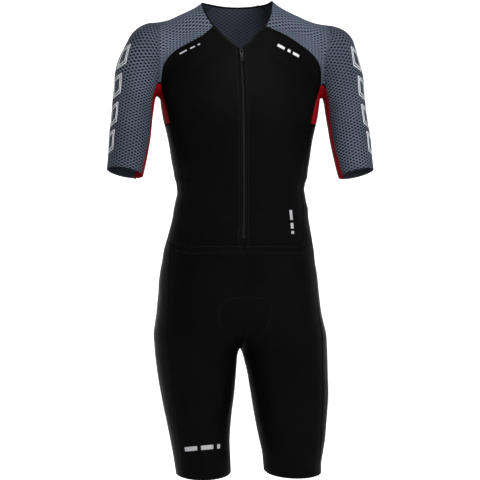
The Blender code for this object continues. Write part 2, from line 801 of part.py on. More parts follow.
def loop_of(grid):
    """Row and column of a grid's edge points, once round."""
    rows, columns = grid.shape[:2]
    top = [(0, c) for c in range(columns)]
    right = [(r, columns - 1) for r in range(1, rows)]
    bottom = [(rows - 1, c) for c in range(columns - 2, -1, -1)]
    left = [(r, 0) for r in range(rows - 2, 0, -1)]
    return tuple(np.array(top + right + bottom + left).T)


def draw_in(grid, distance):
    """Moves a grid's edge points inward along the form, each by the same distance from its two edges."""
    loop = loop_of(grid)
    edge = grid[loop]
    normals = form_normal(edge)
    ahead = unit(np.roll(edge, -1, axis=0) - edge)
    behind = np.roll(ahead, 1, axis=0)
    inward_ahead, inward_behind = unit(np.cross(normals, ahead)), unit(np.cross(normals, behind))
    centre_normal = np.cross(grid[0, 1] - grid[0, 0], grid[1, 0] - grid[0, 0])
    facing = math.copysign(1, centre_normal @ normals[0])
    mitre = (inward_ahead + inward_behind) / (1 + (inward_ahead * inward_behind).sum(axis=1))[:, None]
    grid = grid.copy()
    grid[loop] = edge + facing * distance * mitre
    return grid


def wall(name, grid, normals, thickness, finish):
    """A closed sheet: the grid's quads, the same quads a thickness behind, and a rim between the two."""
    columns = grid.shape[1]
    shape = bmesh.new()
    outer = [shape.verts.new(point) for point in leaned(grid.reshape(-1, 3))]
    behind = (grid - thickness * normals).reshape(-1, 3)
    inner = [shape.verts.new(point) for point in leaned(behind)]
    for row in range(grid.shape[0] - 1):
        for column in range(columns - 1):
            first = row * columns + column
            ring = (first, first + 1, first + columns + 1, first + columns)
            shape.faces.new([outer[i] for i in ring])
            shape.faces.new([inner[i] for i in reversed(ring)])
    rim = [row * columns + column for row, column in zip(*loop_of(grid))]
    for here, following in zip(rim, rim[1:] + rim[:1]):
        shape.faces.new((outer[here], inner[here], inner[following], outer[following]))
    bmesh.ops.recalc_face_normals(shape, faces=list(shape.faces))
    return link(name, shape, finish)


def link(name, shape, finish):
    mesh = bpy.data.meshes.new(name)
    shape.to_mesh(mesh)
    shape.free()
    obj = bpy.data.objects.new(name, mesh)
    bpy.context.collection.objects.link(obj)
    dress(obj, finish)
    return obj


def panel(name, grid, finish):
    """A panel of cloth that stops half a gap short of its seams."""
    grid = draw_in(grid, SEAM_GAP / 2)
    normals = form_normal(grid.reshape(-1, 3)).reshape(grid.shape)
    return wall(name, grid, normals, CLOTH, finish)


# ---- The panels ------------------------------------------------------------------------------------------


def side_seams(side):
    """One side's seams, cut into steps, by name."""
    neck_front, neck_over, neck_back = neck_seams(side)
    raglan_front = raglan_seam(side, neck_front[-1], RAGLAN_FRONT, cast_front)
    raglan_back = raglan_seam(side, neck_over[-1], RAGLAN_BACK, cast_back)
    armhole, armpit = armhole_seams(side)
    yoke_inner = join(
        cut(raglan_front, RAGLAN_STEPS)[::-1],
        cut(neck_over, NECK_OVER_STEPS),
        cut(raglan_back, RAGLAN_STEPS),
    )
    gusset_front = gusset_edge(side, raglan_front[-1], cast_front)
    gusset_back = gusset_edge(side, raglan_back[-1], cast_back)
    waist = waist_seams(side)
    centre_front, centre_back = centre_seam(waist[0][0]), centre_seam(waist[4][-1])
    strip_front = strip_edge(side, waist[1][-1], strip_front_degrees)
    strip_back = strip_edge(side, waist[2][-1], strip_back_degrees)
    side_front = side_seam(side, gusset_front[-1], SIDE_SEAM["front"], waist[0][-1])
    side_back = side_seam(side, gusset_back[-1], SIDE_SEAM["back"], waist[3][-1])
    under_arm = gusset_hem(side, gusset_front[-1], gusset_back[-1])
    hem_front = hem_degrees(side, strip_front_degrees)
    hem_back = hem_degrees(side, strip_back_degrees)
    return {
        "neck_front": cut(neck_front, NECK_FRONT_STEPS),
        "neck_over": cut(neck_over, NECK_OVER_STEPS),
        "neck_back": cut(neck_back, NECK_BACK_STEPS),
        "raglan_front": cut(raglan_front, RAGLAN_STEPS),
        "raglan_back": cut(raglan_back, RAGLAN_STEPS),
        "yoke_inner": yoke_inner,
        "armhole": cut_beside(side, armhole, yoke_inner),
        "armpit": cut(armpit, GUSSET_WIDTH_STEPS),
        "fold": cut(armpit_fold(raglan_front[-1], raglan_back[-1]), GUSSET_WIDTH_STEPS),
        "gusset_front": cut(gusset_front, GUSSET_EDGE_STEPS),
        "gusset_back": cut(gusset_back, GUSSET_EDGE_STEPS),
        "gusset_hem": cut(under_arm, GUSSET_WIDTH_STEPS),
        "side_front": cut(side_front, SIDE_SEAM_STEPS),
        "side_back": cut(side_back, SIDE_SEAM_STEPS),
        "zip_edge": zip_edge(side, neck_front[0], waist[0][0]),
        "waist_front": cut(waist[0], BODY_FRONT_STEPS),
        "waist_before_strip": cut(waist[1], WAIST_BESIDE_STRIP_STEPS),
        "waist_strip": cut(waist[2], STRIP_STEPS),
        "waist_after_strip": cut(waist[3], WAIST_BESIDE_STRIP_STEPS),
        "waist_back": cut(waist[4], BODY_FRONT_STEPS),
        "centre_front": cut(centre_front[::-1], CENTRE_SEAM_STEPS, CROTCH_CROWD)[::-1],
        "centre_back": cut(centre_back[::-1], CENTRE_SEAM_STEPS, CROTCH_CROWD)[::-1],
        "inseam": cut(inseam(side, centre_front[-1]), INSEAM_STEPS, CROTCH_CROWD),
        "strip_front": cut(strip_front, LEG_STEPS),
        "strip_back": cut(strip_back, LEG_STEPS),
        "hem_front": cut(hem_edge(side, 180.0, hem_front), LEG_PANEL_STEPS),
        "hem_strip": cut(hem_edge(side, hem_front, hem_back), STRIP_STEPS),
        "hem_back": cut(hem_edge(side, hem_back, -180.0), LEG_PANEL_STEPS),
    }


def build_front(side, seams):
    grid = body_grid(
        side,
        join(seams["neck_front"], seams["raglan_front"]),
        seams["waist_front"],
        seams["zip_edge"],
        join(seams["gusset_front"], seams["side_front"]),
    )
    panel(f"front_{side}", grid, BLACK_KNIT)


def build_side(side, seams):
    waist = join(seams["waist_before_strip"], seams["waist_strip"], seams["waist_after_strip"])
    grid = body_grid(side, seams["gusset_hem"], waist, seams["side_front"], seams["side_back"])
    panel(f"side_{side}", grid, BLACK_KNIT)


def build_back(left, right):
    grid = body_grid(
        "left",
        join(left["raglan_back"][::-1], left["neck_back"], right["neck_back"][::-1], right["raglan_back"]),
        join(left["waist_back"], right["waist_back"][::-1]),
        join(left["gusset_back"], left["side_back"]),
        join(right["gusset_back"], right["side_back"]),
    )
    panel("back", grid, GREY_MESH)


def build_yoke(side, seams):
    panel(f"yoke_{side}", yoke_grid(side, seams["yoke_inner"], seams["armhole"]), GREY_MESH)


def build_sleeve(side, seams):
    cuff_degrees = np.linspace(CUFF_GUSSET["front"], CUFF_GUSSET["back"] - 360, ARMHOLE_STEPS + 1)
    panel(f"sleeve_{side}", sleeve_grid(side, seams["armhole"], cuff_degrees), GREY_MESH)


def build_gusset(side, seams):
    """One strip from the cuff up the sleeve's underside, through the armpit and down the body's side."""
    cuff_degrees = np.linspace(CUFF_GUSSET["front"], CUFF_GUSSET["back"], GUSSET_WIDTH_STEPS + 1)
    under_sleeve = sleeve_grid(side, seams["armpit"], cuff_degrees)
    on_body = plain_grid(seams["fold"], seams["gusset_hem"], seams["gusset_front"], seams["gusset_back"])
    panel(f"gusset_{side}", np.concatenate([under_sleeve[::-1], on_body]), RED_KNIT)


def build_leg(side, seams):
    front = leg_grid(
        side,
        -90.0,
        join(seams["waist_front"], seams["waist_before_strip"]),
        seams["hem_front"],
        join(seams["centre_front"], seams["inseam"]),
        seams["strip_front"],
    )
    panel(f"leg_front_{side}", front, BLACK_KNIT)
    strip = leg_grid(
        side, -180.0, seams["waist_strip"], seams["hem_strip"], seams["strip_front"], seams["strip_back"]
    )
    panel(f"leg_strip_{side}", strip, SHEEN_KNIT)
    back = leg_grid(
        side,
        -270.0,
        join(seams["waist_after_strip"], seams["waist_back"]),
        seams["hem_back"],
        seams["strip_back"],
        join(seams["centre_back"], seams["inseam"]),
    )
    panel(f"leg_back_{side}", back, BLACK_KNIT)


# ---- Trim ------------------------------------------------------------------------------------------------


def build_zip_band():
    heights = np.linspace(ZIP_TOP_Z, ZIP_BOTTOM_Z + SEAM_GAP, ZIP_STEPS + 1)
    widths = (-ZIP_HALF_WIDTH, ZIP_HALF_WIDTH)
    grid = np.stack([cast_zip(np.full(len(heights), x), heights) for x in widths], axis=1)
    normals = form_normal(grid.reshape(-1, 3)).reshape(grid.shape)
    wall("zip_band", grid + ZIP_PROUD * normals, normals, ZIP_THICKNESS, ZIP_TEETH)


def build_binding(left, right):
    """A strip along the whole neck edge, open at the zip."""
    line = join(
        left["neck_front"],
        left["neck_over"],
        left["neck_back"],
        right["neck_back"][::-1],
        right["neck_over"][::-1],
        right["neck_front"][::-1],
    )
    normals = form_normal(line)
    stretches = unit(np.diff(line, axis=0))
    ahead, behind = np.vstack([stretches, stretches[-1:]]), np.vstack([stretches[:1], stretches])
    up_ahead, up_behind = unit(np.cross(normals, ahead)), unit(np.cross(normals, behind))
    up = (up_ahead + up_behind) / (1 + (up_ahead * up_behind).sum(axis=1))[:, None]
    up *= np.sign(up[len(up) // 2, 2])
    edge = line + SEAM_GAP / 2 * up + BINDING_PROUD * normals
    grid = np.stack([edge + BINDING_HEIGHT * up, edge])
    wall("neck_binding", grid, np.stack([normals, normals]), CLOTH + 2 * BINDING_PROUD, BINDING)


def box(size, centre):
    """A box as a new bmesh, with its size and centre in its object's own frame."""
    shape = bmesh.new()
    bmesh.ops.create_cube(shape, size=1.0, matrix=Matrix.LocRotScale(Vector(centre), None, Vector(size)))
    return shape


def hide(obj):
    """Keeps a cutter or another helper out of the build."""
    obj.hide_render = True
    obj.display_type = "WIRE"
    return obj


def add_boolean(obj, other, operation):
    modifier = obj.modifiers.new(other.name, "BOOLEAN")
    modifier.operation = operation
    modifier.object = other


def slider_frame():
    """An empty on the zip at the slider's middle: local -Y out of the cloth, +Z up along it."""
    place = cast_zip(np.zeros(1), np.array([SLIDER_Z]))
    normal = form_normal(place)[0]
    frame = bpy.data.objects.new("slider_frame", None)
    frame.location = leaned(place + (ZIP_PROUD + SLIDER_CLEARANCE) * normal)[0]
    frame.rotation_euler.x = math.atan2(-normal[2], -normal[1])
    bpy.context.collection.objects.link(frame)
    return frame


def build_slider(frame):
    """The slider's body with its bail, a half ring of wire that the pull tab hangs from."""
    out = SLIDER_SIZE[1]
    body = box(SLIDER_SIZE, (0, -out / 2, 0))
    edges = list(body.edges)
    bmesh.ops.bevel(body, geom=edges, offset=SLIDER_BEVEL, segments=2, profile=0.5, affect="EDGES")
    slider = link("zip_slider", body, DARK_METAL)
    slider.parent = frame

    curve = bpy.data.curves.new("bail", "CURVE")
    curve.dimensions = "3D"
    curve.bevel_depth = BAIL_WIRE
    curve.bevel_resolution = 2
    curve.use_fill_caps = True
    spline = curve.splines.new("POLY")
    spline.points.add(BAIL_POINTS - 1)
    for point, angle in zip(spline.points, np.linspace(0, math.pi, BAIL_POINTS)):
        reach = (BAIL_REACH - BAIL_WIRE + BAIL_ROOT) * math.sin(angle)
        point.co = (0, BAIL_ROOT - out - reach, BAIL_SPAN / 2 * math.cos(angle), 1)
    wire = bpy.data.objects.new("bail_curve", curve)
    shape = bmesh.new()
    shape.from_mesh(bpy.data.meshes.new_from_object(wire))
    bpy.data.objects.remove(wire)
    bmesh.ops.remove_doubles(shape, verts=list(shape.verts), dist=1e-6)
    bmesh.ops.recalc_face_normals(shape, faces=list(shape.faces))
    bail = hide(link("bail", shape, DARK_METAL))
    bail.parent = frame
    add_boolean(slider, bail, "UNION")


def build_tab(frame):
    """The pull tab, with its origin on the middle of the bar that turns inside the bail."""
    _, thick, long = TAB_SIZE
    plate = box(TAB_SIZE, (0, 0, TAB_BAR / 2 - long / 2))
    corners = [edge for edge in plate.edges if abs(edge.verts[0].co.y - edge.verts[1].co.y) > thick / 2]
    bmesh.ops.bevel(plate, geom=corners, offset=TAB_CORNER, segments=4, profile=0.5, affect="EDGES")
    tab = link("pull_tab", plate, DARK_METAL)
    eye_across, eye_along = TAB_EYE
    hole = box((eye_across, 3 * thick, eye_along), (0, 0, -(TAB_BAR + eye_along) / 2))
    eye = hide(link("tab_eye", hole, DARK_METAL))
    add_boolean(tab, eye, "DIFFERENCE")
    for obj in (tab, eye):
        obj.parent = frame
        obj.location = (0, -SLIDER_SIZE[1] - TAB_CLEARANCE - thick / 2, TAB_AXIS_Z)


def main():
    clear_scene()
    seams = {side: side_seams(side) for side in SIDES}
    for side in SIDES:
        build_front(side, seams[side])
        build_side(side, seams[side])
        build_yoke(side, seams[side])
        build_sleeve(side, seams[side])
        build_gusset(side, seams[side])
        build_leg(side, seams[side])
    build_back(seams["left"], seams["right"])
    build_binding(seams["left"], seams["right"])
    build_zip_band()
    frame = slider_frame()
    build_slider(frame)
    build_tab(frame)


main()
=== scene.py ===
"""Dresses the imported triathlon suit: its cloth, seams, zip and marks, with a floor, lights and a camera."""

import logging
import math
from collections import defaultdict
from dataclasses import dataclass, field
from enum import Enum
from functools import cached_property

import bmesh
import bpy
import numpy as np
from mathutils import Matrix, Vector, noise
from mathutils.bvhtree import BVHTree
from mathutils.kdtree import KDTree


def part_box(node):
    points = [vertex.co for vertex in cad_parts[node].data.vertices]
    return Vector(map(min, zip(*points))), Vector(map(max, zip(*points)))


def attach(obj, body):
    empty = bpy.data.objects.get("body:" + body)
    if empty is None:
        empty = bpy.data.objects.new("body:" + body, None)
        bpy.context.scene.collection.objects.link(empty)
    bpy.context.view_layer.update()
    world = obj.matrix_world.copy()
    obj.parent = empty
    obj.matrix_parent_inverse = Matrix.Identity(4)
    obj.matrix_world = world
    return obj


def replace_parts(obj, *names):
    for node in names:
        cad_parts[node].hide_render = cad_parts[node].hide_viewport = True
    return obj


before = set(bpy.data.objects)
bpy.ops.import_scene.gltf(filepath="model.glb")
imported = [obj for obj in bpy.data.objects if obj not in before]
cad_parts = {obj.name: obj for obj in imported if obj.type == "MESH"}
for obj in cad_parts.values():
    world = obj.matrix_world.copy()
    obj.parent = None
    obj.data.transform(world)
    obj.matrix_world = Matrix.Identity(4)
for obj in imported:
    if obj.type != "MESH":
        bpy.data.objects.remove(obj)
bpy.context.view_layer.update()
LOG = logging.getLogger("triathlon_suit")

SUIT, TAB = "suit", "pull_tab"  # the bodies: all the cloth, and the tab that swings on the slider
SIDES = {"left": 1, "right": -1}  # the wearer's sides, as signs of x
CLOTH_THICKNESS = 0.0011
CLOTH_LAYOUT = "cloth_layout"  # the UV map that holds each point's place on the flat cloth, in metres

Colour = tuple[float, float, float]
Place = tuple[float, float]


# ---- Small tools ----


def unit(vectors: np.ndarray) -> np.ndarray:
    """The vectors along an array's last axis brought to length one, and zero where one is zero."""
    return vectors / np.maximum(np.linalg.norm(vectors, axis=-1, keepdims=True), 1e-12)


def arc_length(line: np.ndarray) -> np.ndarray:
    """Distance along each line of points, shape (points, ..., 3), from its first point."""
    steps = np.linalg.norm(np.diff(line, axis=0), axis=-1)
    return np.concatenate([np.zeros_like(steps[:1]), np.cumsum(steps, axis=0)])


def read_along(vectors: np.ndarray, stations: np.ndarray, wanted: np.ndarray) -> np.ndarray:
    """Vectors that are known at some stations of a line, read off at other stations."""
    return np.stack([np.interp(wanted, stations, vectors[:, axis]) for axis in range(3)], axis=1)


def resampled(path: np.ndarray, step: float) -> np.ndarray:
    """The same line of points from its first to its last, with its points about a step apart."""
    stations = arc_length(path)
    return read_along(path, stations, np.linspace(0, stations[-1], max(2, round(stations[-1] / step) + 1)))


def sideways(path: np.ndarray, normals: np.ndarray) -> np.ndarray:
    """The ways across a line in the cloth, to the left as one looks along it from outside."""
    return np.cross(normals, unit(np.gradient(path, axis=0)))


def point_tree(points: list | np.ndarray) -> KDTree:
    """A tree that finds the nearest of some points.

    Args:
        points: The points.

    Returns:
        The tree, its points numbered as they are given.
    """
    tree = KDTree(len(points))
    for index, point in enumerate(points):
        tree.insert(point, index)
    tree.balance()
    return tree


def grid_faces(rows: int, columns: int) -> np.ndarray:
    """The quads of a grid whose points are numbered row by row, facing out where it reads from outside."""
    first = (np.arange(rows - 1)[:, None] * columns + np.arange(columns - 1)).reshape(-1)
    return np.stack([first, first + columns, first + columns + 1, first + 1], axis=1)


def node_points(node: str) -> np.ndarray:
    """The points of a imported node."""
    return np.array([vertex.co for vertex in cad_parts[node].data.vertices])


def deselect_all() -> None:
    """Leaves nothing selected, so that an operator acts on the new primitive alone."""
    bpy.ops.object.select_all(action="DESELECT")


def pick(obj: bpy.types.Object) -> None:
    """Leaves one object selected and active, so that an operator acts on it alone.

    Args:
        obj: The object.
    """
    deselect_all()
    bpy.context.view_layer.objects.active = obj
    obj.select_set(True)


def apply_modifiers(obj: bpy.types.Object) -> None:
    """Applies all of an object's modifiers, in order.

    Args:
        obj: The object.
    """
    pick(obj)
    for modifier in list(obj.modifiers):
        bpy.ops.object.modifier_apply(modifier=modifier.name)


def link(name: str, data: bpy.types.ID) -> bpy.types.Object:
    """A new object at the origin that shows a mesh, a light or a camera.

    Args:
        name: Its name.
        data: What it shows.

    Returns:
        The object.
    """
    obj = bpy.data.objects.new(name, data)
    bpy.context.scene.collection.objects.link(obj)
    return obj


def new_mesh(name: str, vertices: list, faces: list) -> bpy.types.Mesh:
    """A mesh of points and of faces that are given by their points' numbers, smooth all over.

    Args:
        name: Its name.
        vertices: Its points.
        faces: Point numbers of each face.

    Returns:
        The mesh.
    """
    mesh = bpy.data.meshes.new(name)
    mesh.from_pydata(vertices, [], faces)
    mesh.shade_smooth()
    return mesh


def corner_points(mesh: bpy.types.Mesh) -> np.ndarray:
    """The number of the point at each corner of a mesh's faces.

    Args:
        mesh: The mesh.

    Returns:
        The numbers, face after face.
    """
    numbers = np.empty(len(mesh.loops), np.int32)
    mesh.loops.foreach_get("vertex_index", numbers)
    return numbers


# ---- Reading the panels from the frame ----


class Grid:
    """The outer points of one packed cloth panel, in rows and columns.

    A panel is a closed wall: a sheet of quads, the same sheet a thickness behind it and a rim. Its mesh comes
    as loose triangles, so the sheet is found again from its shape. Rows run down and columns to the right, as
    one sees the panel from outside.
    """

    MERGE = 2e-5  # points nearer than this are one point
    WALL = (0.00135, 0.00170)  # shortest and longest edge across the wall
    ACROSS = 0.5  # least cosine between such an edge and the sheet's normal

    def __init__(self, node: str) -> None:
        """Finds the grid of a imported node.

        Args:
            node: The node's name.
        """
        self.node = node
        mesh = bmesh.new()
        mesh.from_mesh(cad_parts[node].data)
        bmesh.ops.remove_doubles(mesh, verts=mesh.verts, dist=self.MERGE)
        mesh.normal_update()
        outer = max(self._sheets(mesh), key=self._reach)
        self.points = self._turned(self._walk(outer), outer)
        mesh.free()

    def _is_across(self, edge: bmesh.types.BMEdge) -> bool:
        """Whether an edge joins the outer sheet to the inner one at the rim.

        Args:
            edge: The edge.

        Returns:
            True if it is as long as the wall is thick and stands across it.
        """
        low, high = self.WALL
        if not low < edge.calc_length() < high:
            return False
        first, second = edge.verts
        along = (first.co - second.co).normalized()
        outward = max(face.normal.dot(along) for face in first.link_faces)
        inward = min(face.normal.dot(along) for face in second.link_faces)
        return outward > self.ACROSS and inward < -self.ACROSS

    def _sheets(self, mesh: bmesh.types.BMesh) -> list[list[bmesh.types.BMFace]]:
        """The two largest patches of faces that are left when the rim is taken away.

        Args:
            mesh: The node's mesh.

        Returns:
            The faces of the two patches.
        """
        rim = {face for edge in mesh.edges if self._is_across(edge) for face in edge.link_faces}
        left = {face for face in mesh.faces if face not in rim}
        patches = []
        while left:
            patch = [left.pop()]
            for face in patch:  # it grows while it is read
                beside = {other for edge in face.edges for other in edge.link_faces} & left
                left -= beside
                patch += beside
            patches.append(patch)
        patches.sort(key=len, reverse=True)
        if len(patches) < 2 or len(patches[0]) != len(patches[1]):
            raise RuntimeError(f"{self.node}: patches of {[len(patch) for patch in patches[:4]]} faces")
        return patches[:2]

    @staticmethod
    def _reach(faces: list[bmesh.types.BMFace]) -> float:
        """How far a patch reaches from front to back: the outer sheet reaches further."""
        depths = [vert.co.y for face in faces for vert in face.verts]
        return max(depths) - min(depths)

    def _walk(self, faces: list[bmesh.types.BMFace]) -> np.ndarray:
        """Walks a patch of triangles as a grid, from one corner after another until all of it fits.

        Args:
            faces: The patch's triangles.

        Returns:
            Its points, shape (rows, columns, 3).
        """
        inside = set(faces)
        near, rim = defaultdict(set), defaultdict(list)
        for edge in {edge for face in faces for edge in face.edges}:
            first, second = edge.verts
            near[first].add(second)
            near[second].add(first)
            if sum(face in inside for face in edge.link_faces) == 1:
                rim[first].append(second)
                rim[second].append(first)
        start = next(iter(rim))
        loop = [start, rim[start][0]]
        while (ahead := next(vert for vert in rim[loop[-1]] if vert is not loop[-2])) is not start:
            loop.append(ahead)
        half, count = len(loop) // 2, len(near)  # columns + rows, and (columns + 1) * (rows + 1)
        root = math.sqrt(half * half - 4 * (count - 1 - half))
        wide, high = round((half + root) / 2), round((half - root) / 2)
        for columns, rows in {(wide, high), (high, wide)}:
            for first in range(len(loop)):
                grid = self._fill(loop[first:] + loop[:first], near, rows, columns)
                if grid:
                    return np.array([[tuple(vert.co) for vert in row] for row in grid])
        raise RuntimeError(f"{self.node}: {count} points, {len(loop)} on the rim, don't form a grid")

    @staticmethod
    def _fill(
        loop: list[bmesh.types.BMVert], near: dict[bmesh.types.BMVert, set[bmesh.types.BMVert]],
        rows: int, columns: int,
    ) -> list[list[bmesh.types.BMVert]]:
        """The grid whose top edge starts at the rim's first point.

        Args:
            loop: The rim's points, once round.
            near: The points that share an edge with each point.
            rows: How many steps the grid has down.
            columns: How many steps it has across.

        Returns:
            Its points in rows, or an empty list if the patch doesn't fit.
        """
        top, right = loop[: columns + 1], loop[columns : columns + rows + 1]
        bottom = loop[columns + rows : 2 * columns + rows + 1][::-1]
        left = [loop[0]] + loop[2 * columns + rows :][::-1]
        grid, used = [top], set(loop)
        for row in range(1, rows):
            line = [left[row]]
            for column in range(1, columns):
                shared = [
                    vert for vert in near[grid[-1][column]] & near[line[-1]]
                    if vert not in used and vert is not grid[-1][column - 1]
                ]
                if len(shared) != 1:
                    return []
                line += shared
                used.add(shared[0])
            if right[row] not in near[line[-1]]:
                return []
            grid.append(line + [right[row]])
        if any(bottom[column] not in near[grid[-1][column]] for column in range(1, columns)):
            return []
        return grid + [bottom] if len(used) == len(near) else []

    @staticmethod
    def _turned(points: np.ndarray, faces: list[bmesh.types.BMFace]) -> np.ndarray:
        """Turns a grid so that its rows run down and it reads from left to right from outside.

        Args:
            points: The grid's points.
            faces: The faces that it was walked on.

        Returns:
            The same points in their new order.
        """
        drop = abs((points[-1] - points[0])[:, 2].mean()), abs((points[:, -1] - points[:, 0])[:, 2].mean())
        if drop[1] > drop[0]:
            points = points.transpose(1, 0, 2)
        if points[-1, :, 2].mean() > points[0, :, 2].mean():
            points = points[::-1]
        across, down = points[1, 1] - points[1, 0], points[1, 0] - points[0, 0]
        near_face = min(faces, key=lambda face: (face.calc_center_median() - Vector(points[1, 1])).length)
        if Vector(np.cross(across, down)).dot(near_face.normal) > 0:
            points = points[:, ::-1]
        return np.ascontiguousarray(points)


# ---- Cloth panels ----


def smooth_curve(knots: np.ndarray, steps: int, corner_angle: float = math.radians(35)) -> np.ndarray:
    """Smooth curves through points, for many lines at once.

    Args:
        knots: Points in rows, shape (points, lines, 3).
        steps: How many pieces each gap between two knots is cut into.
        corner_angle: The first and the last line keep the corners that turn more than this.

    Returns:
        The curves, shape ((points - 1) * steps + 1, lines, 3).
    """
    gaps = np.linalg.norm(np.diff(knots, axis=0), axis=-1)[..., None]
    slopes = np.diff(knots, axis=0) / gaps
    inner = (slopes[:-1] * gaps[1:] + slopes[1:] * gaps[:-1]) / (gaps[:-1] + gaps[1:])
    # a curve has no bend at its two ends
    first, last = 1.5 * slopes[:1] - 0.5 * inner[:1], 1.5 * slopes[-1:] - 0.5 * inner[-1:]
    corner = (unit(slopes[:-1]) * unit(slopes[1:])).sum(axis=-1) < math.cos(corner_angle)
    corner[:, 1:-1] = False
    leaving = np.concatenate([first, np.where(corner[..., None], slopes[1:], inner)])
    arriving = np.concatenate([np.where(corner[..., None], slopes[:-1], inner), last])
    pieces = []
    for share in np.arange(steps) / steps:
        square, cube = share**2, share**3
        pieces.append(
            (2 * cube - 3 * square + 1) * knots[:-1]
            + (cube - 2 * square + share) * gaps * leaving
            + (3 * square - 2 * cube) * knots[1:]
            + (cube - square) * gaps * arriving
        )
    curve = np.stack(pieces, axis=1).reshape(-1, *knots.shape[1:])
    return np.concatenate([curve, knots[-1:]])


class Kind(Enum):
    """The kinds of panel, by the start of their node's name."""

    FRONT = "front"
    SIDE = "side"
    BACK = "back"
    YOKE = "yoke"
    SLEEVE = "sleeve"
    GUSSET = "gusset"
    LEG_FRONT = "leg_front"
    LEG_STRIP = "leg_strip"
    LEG_BACK = "leg_back"


class Part(Enum):
    """The tubes of the suit that a crease is placed round: its panels' kinds, and its side if it has one."""

    TORSO = ((Kind.FRONT, Kind.SIDE, Kind.BACK), None)
    LEFT_ARM = ((Kind.SLEEVE,), "left")
    RIGHT_ARM = ((Kind.SLEEVE,), "right")
    LEFT_LEG = ((Kind.LEG_FRONT, Kind.LEG_STRIP, Kind.LEG_BACK), "left")
    RIGHT_LEG = ((Kind.LEG_FRONT, Kind.LEG_STRIP, Kind.LEG_BACK), "right")


@dataclass
class Panel:
    """One panel of cloth as a fine grid of outer points."""

    kind: Kind
    side: str | None
    points: np.ndarray = field(init=False)
    normals: np.ndarray = field(init=False)
    partners: np.ndarray = field(init=False)  # for each edge point, the panel it is sewn to, or ""
    flat: Place = field(init=False)
    area: float = field(init=False)

    CELL = 0.0042  # side of a cell of the fine grid
    WORN_STRETCH = 1.05  # the worn cloth over its cut size, each way
    YOKE_SLOPE = 1.07  # length along the sloping shoulder over its level length

    def __post_init__(self) -> None:
        """Reads the coarse grid from the frame and draws the fine one through it."""
        points = Grid(self.name).points
        spacing = [np.linalg.norm(np.diff(points, axis=axis), axis=-1).mean() for axis in (0, 1)]
        for gap in spacing:
            points = smooth_curve(points, max(1, round(gap / self.CELL))).transpose(1, 0, 2)
        self.points = points
        self.measure()

    @property
    def name(self) -> str:
        """The node's name."""
        return self.kind.value if self.side is None else f"{self.kind.value}_{self.side}"

    @cached_property
    def loop(self) -> tuple[np.ndarray, np.ndarray]:
        """Rows and columns of the edge points, once round from the first row's start.

        Returns:
            The row and the column of each.
        """
        numbers = np.indices(self.points.shape[:2])
        sides = numbers[:, 0], numbers[:, 1:, -1], numbers[:, -1, -2::-1], numbers[:, -2:0:-1, 0]
        return tuple(np.concatenate(sides, axis=1))

    def measure(self) -> None:
        """Works out the outward normals, the panel's flat size and its area."""
        points = self.points
        self.normals = unit(np.cross(np.gradient(points, axis=0), np.gradient(points, axis=1)))
        crossed = np.cross(points[1:, 1:] - points[:-1, :-1], points[1:, :-1] - points[:-1, 1:])
        self.area = float(np.linalg.norm(crossed, axis=-1).sum() / 2) / self.WORN_STRETCH**2
        lines = points.transpose(1, 0, 2), points
        self.flat = tuple(float(arc_length(line)[-1].max()) / self.WORN_STRETCH for line in lines)

    def layout(self) -> np.ndarray:
        """Where each point lies on the flat cloth, in metres, shape (rows, columns, 2).

        Returns:
            The places, across and up.
        """
        if self.kind is Kind.SLEEVE:
            return self._unwrapped()
        over_shoulder = self.kind is Kind.YOKE
        lines = self.points * [0.0, 1.0, 1.0] if over_shoulder else self.points
        across = arc_length(lines.transpose(1, 0, 2)).T
        across = across - across[:, [across.shape[1] // 2]]
        if over_shoulder:
            return np.stack([self.points[..., 0] * self.YOKE_SLOPE, across], axis=-1)
        down = arc_length(self.points)
        return np.stack([across, down[-1] - down], axis=-1)

    def _unwrapped(self) -> np.ndarray:
        """The same for a sleeve, flattened as a whole and stood upright on the middle of its cuff.

        Returns:
            The places, across and up.
        """
        rows, columns = self.points.shape[:2]
        faces = grid_faces(rows, columns)
        mesh = new_mesh("flattened", self.points.reshape(-1, 3).tolist(), faces.tolist())
        mesh.uv_layers.new(name=CLOTH_LAYOUT)
        pick(link("flattened", mesh))
        bpy.ops.object.mode_set(mode="EDIT")
        bpy.ops.mesh.select_all(action="SELECT")
        bpy.ops.uv.unwrap(method="ANGLE_BASED", margin=0.0)
        bpy.ops.object.mode_set(mode="OBJECT")
        corners = corner_points(mesh)
        places = np.empty(2 * len(corners))
        mesh.uv_layers[CLOTH_LAYOUT].data.foreach_get("uv", places)
        flat = np.empty((rows * columns, 2))
        flat[corners] = places.reshape(-1, 2)
        bpy.data.meshes.remove(mesh)
        flat = flat.reshape(rows, columns, 2)
        middle = columns // 2
        flat -= flat[-1, middle]
        real = arc_length(self.points[:, middle])[-1]
        up = flat[0, middle] * real / (flat[0, middle] @ flat[0, middle])
        return np.stack([flat @ np.array([up[1], -up[0]]), flat @ up], axis=-1)


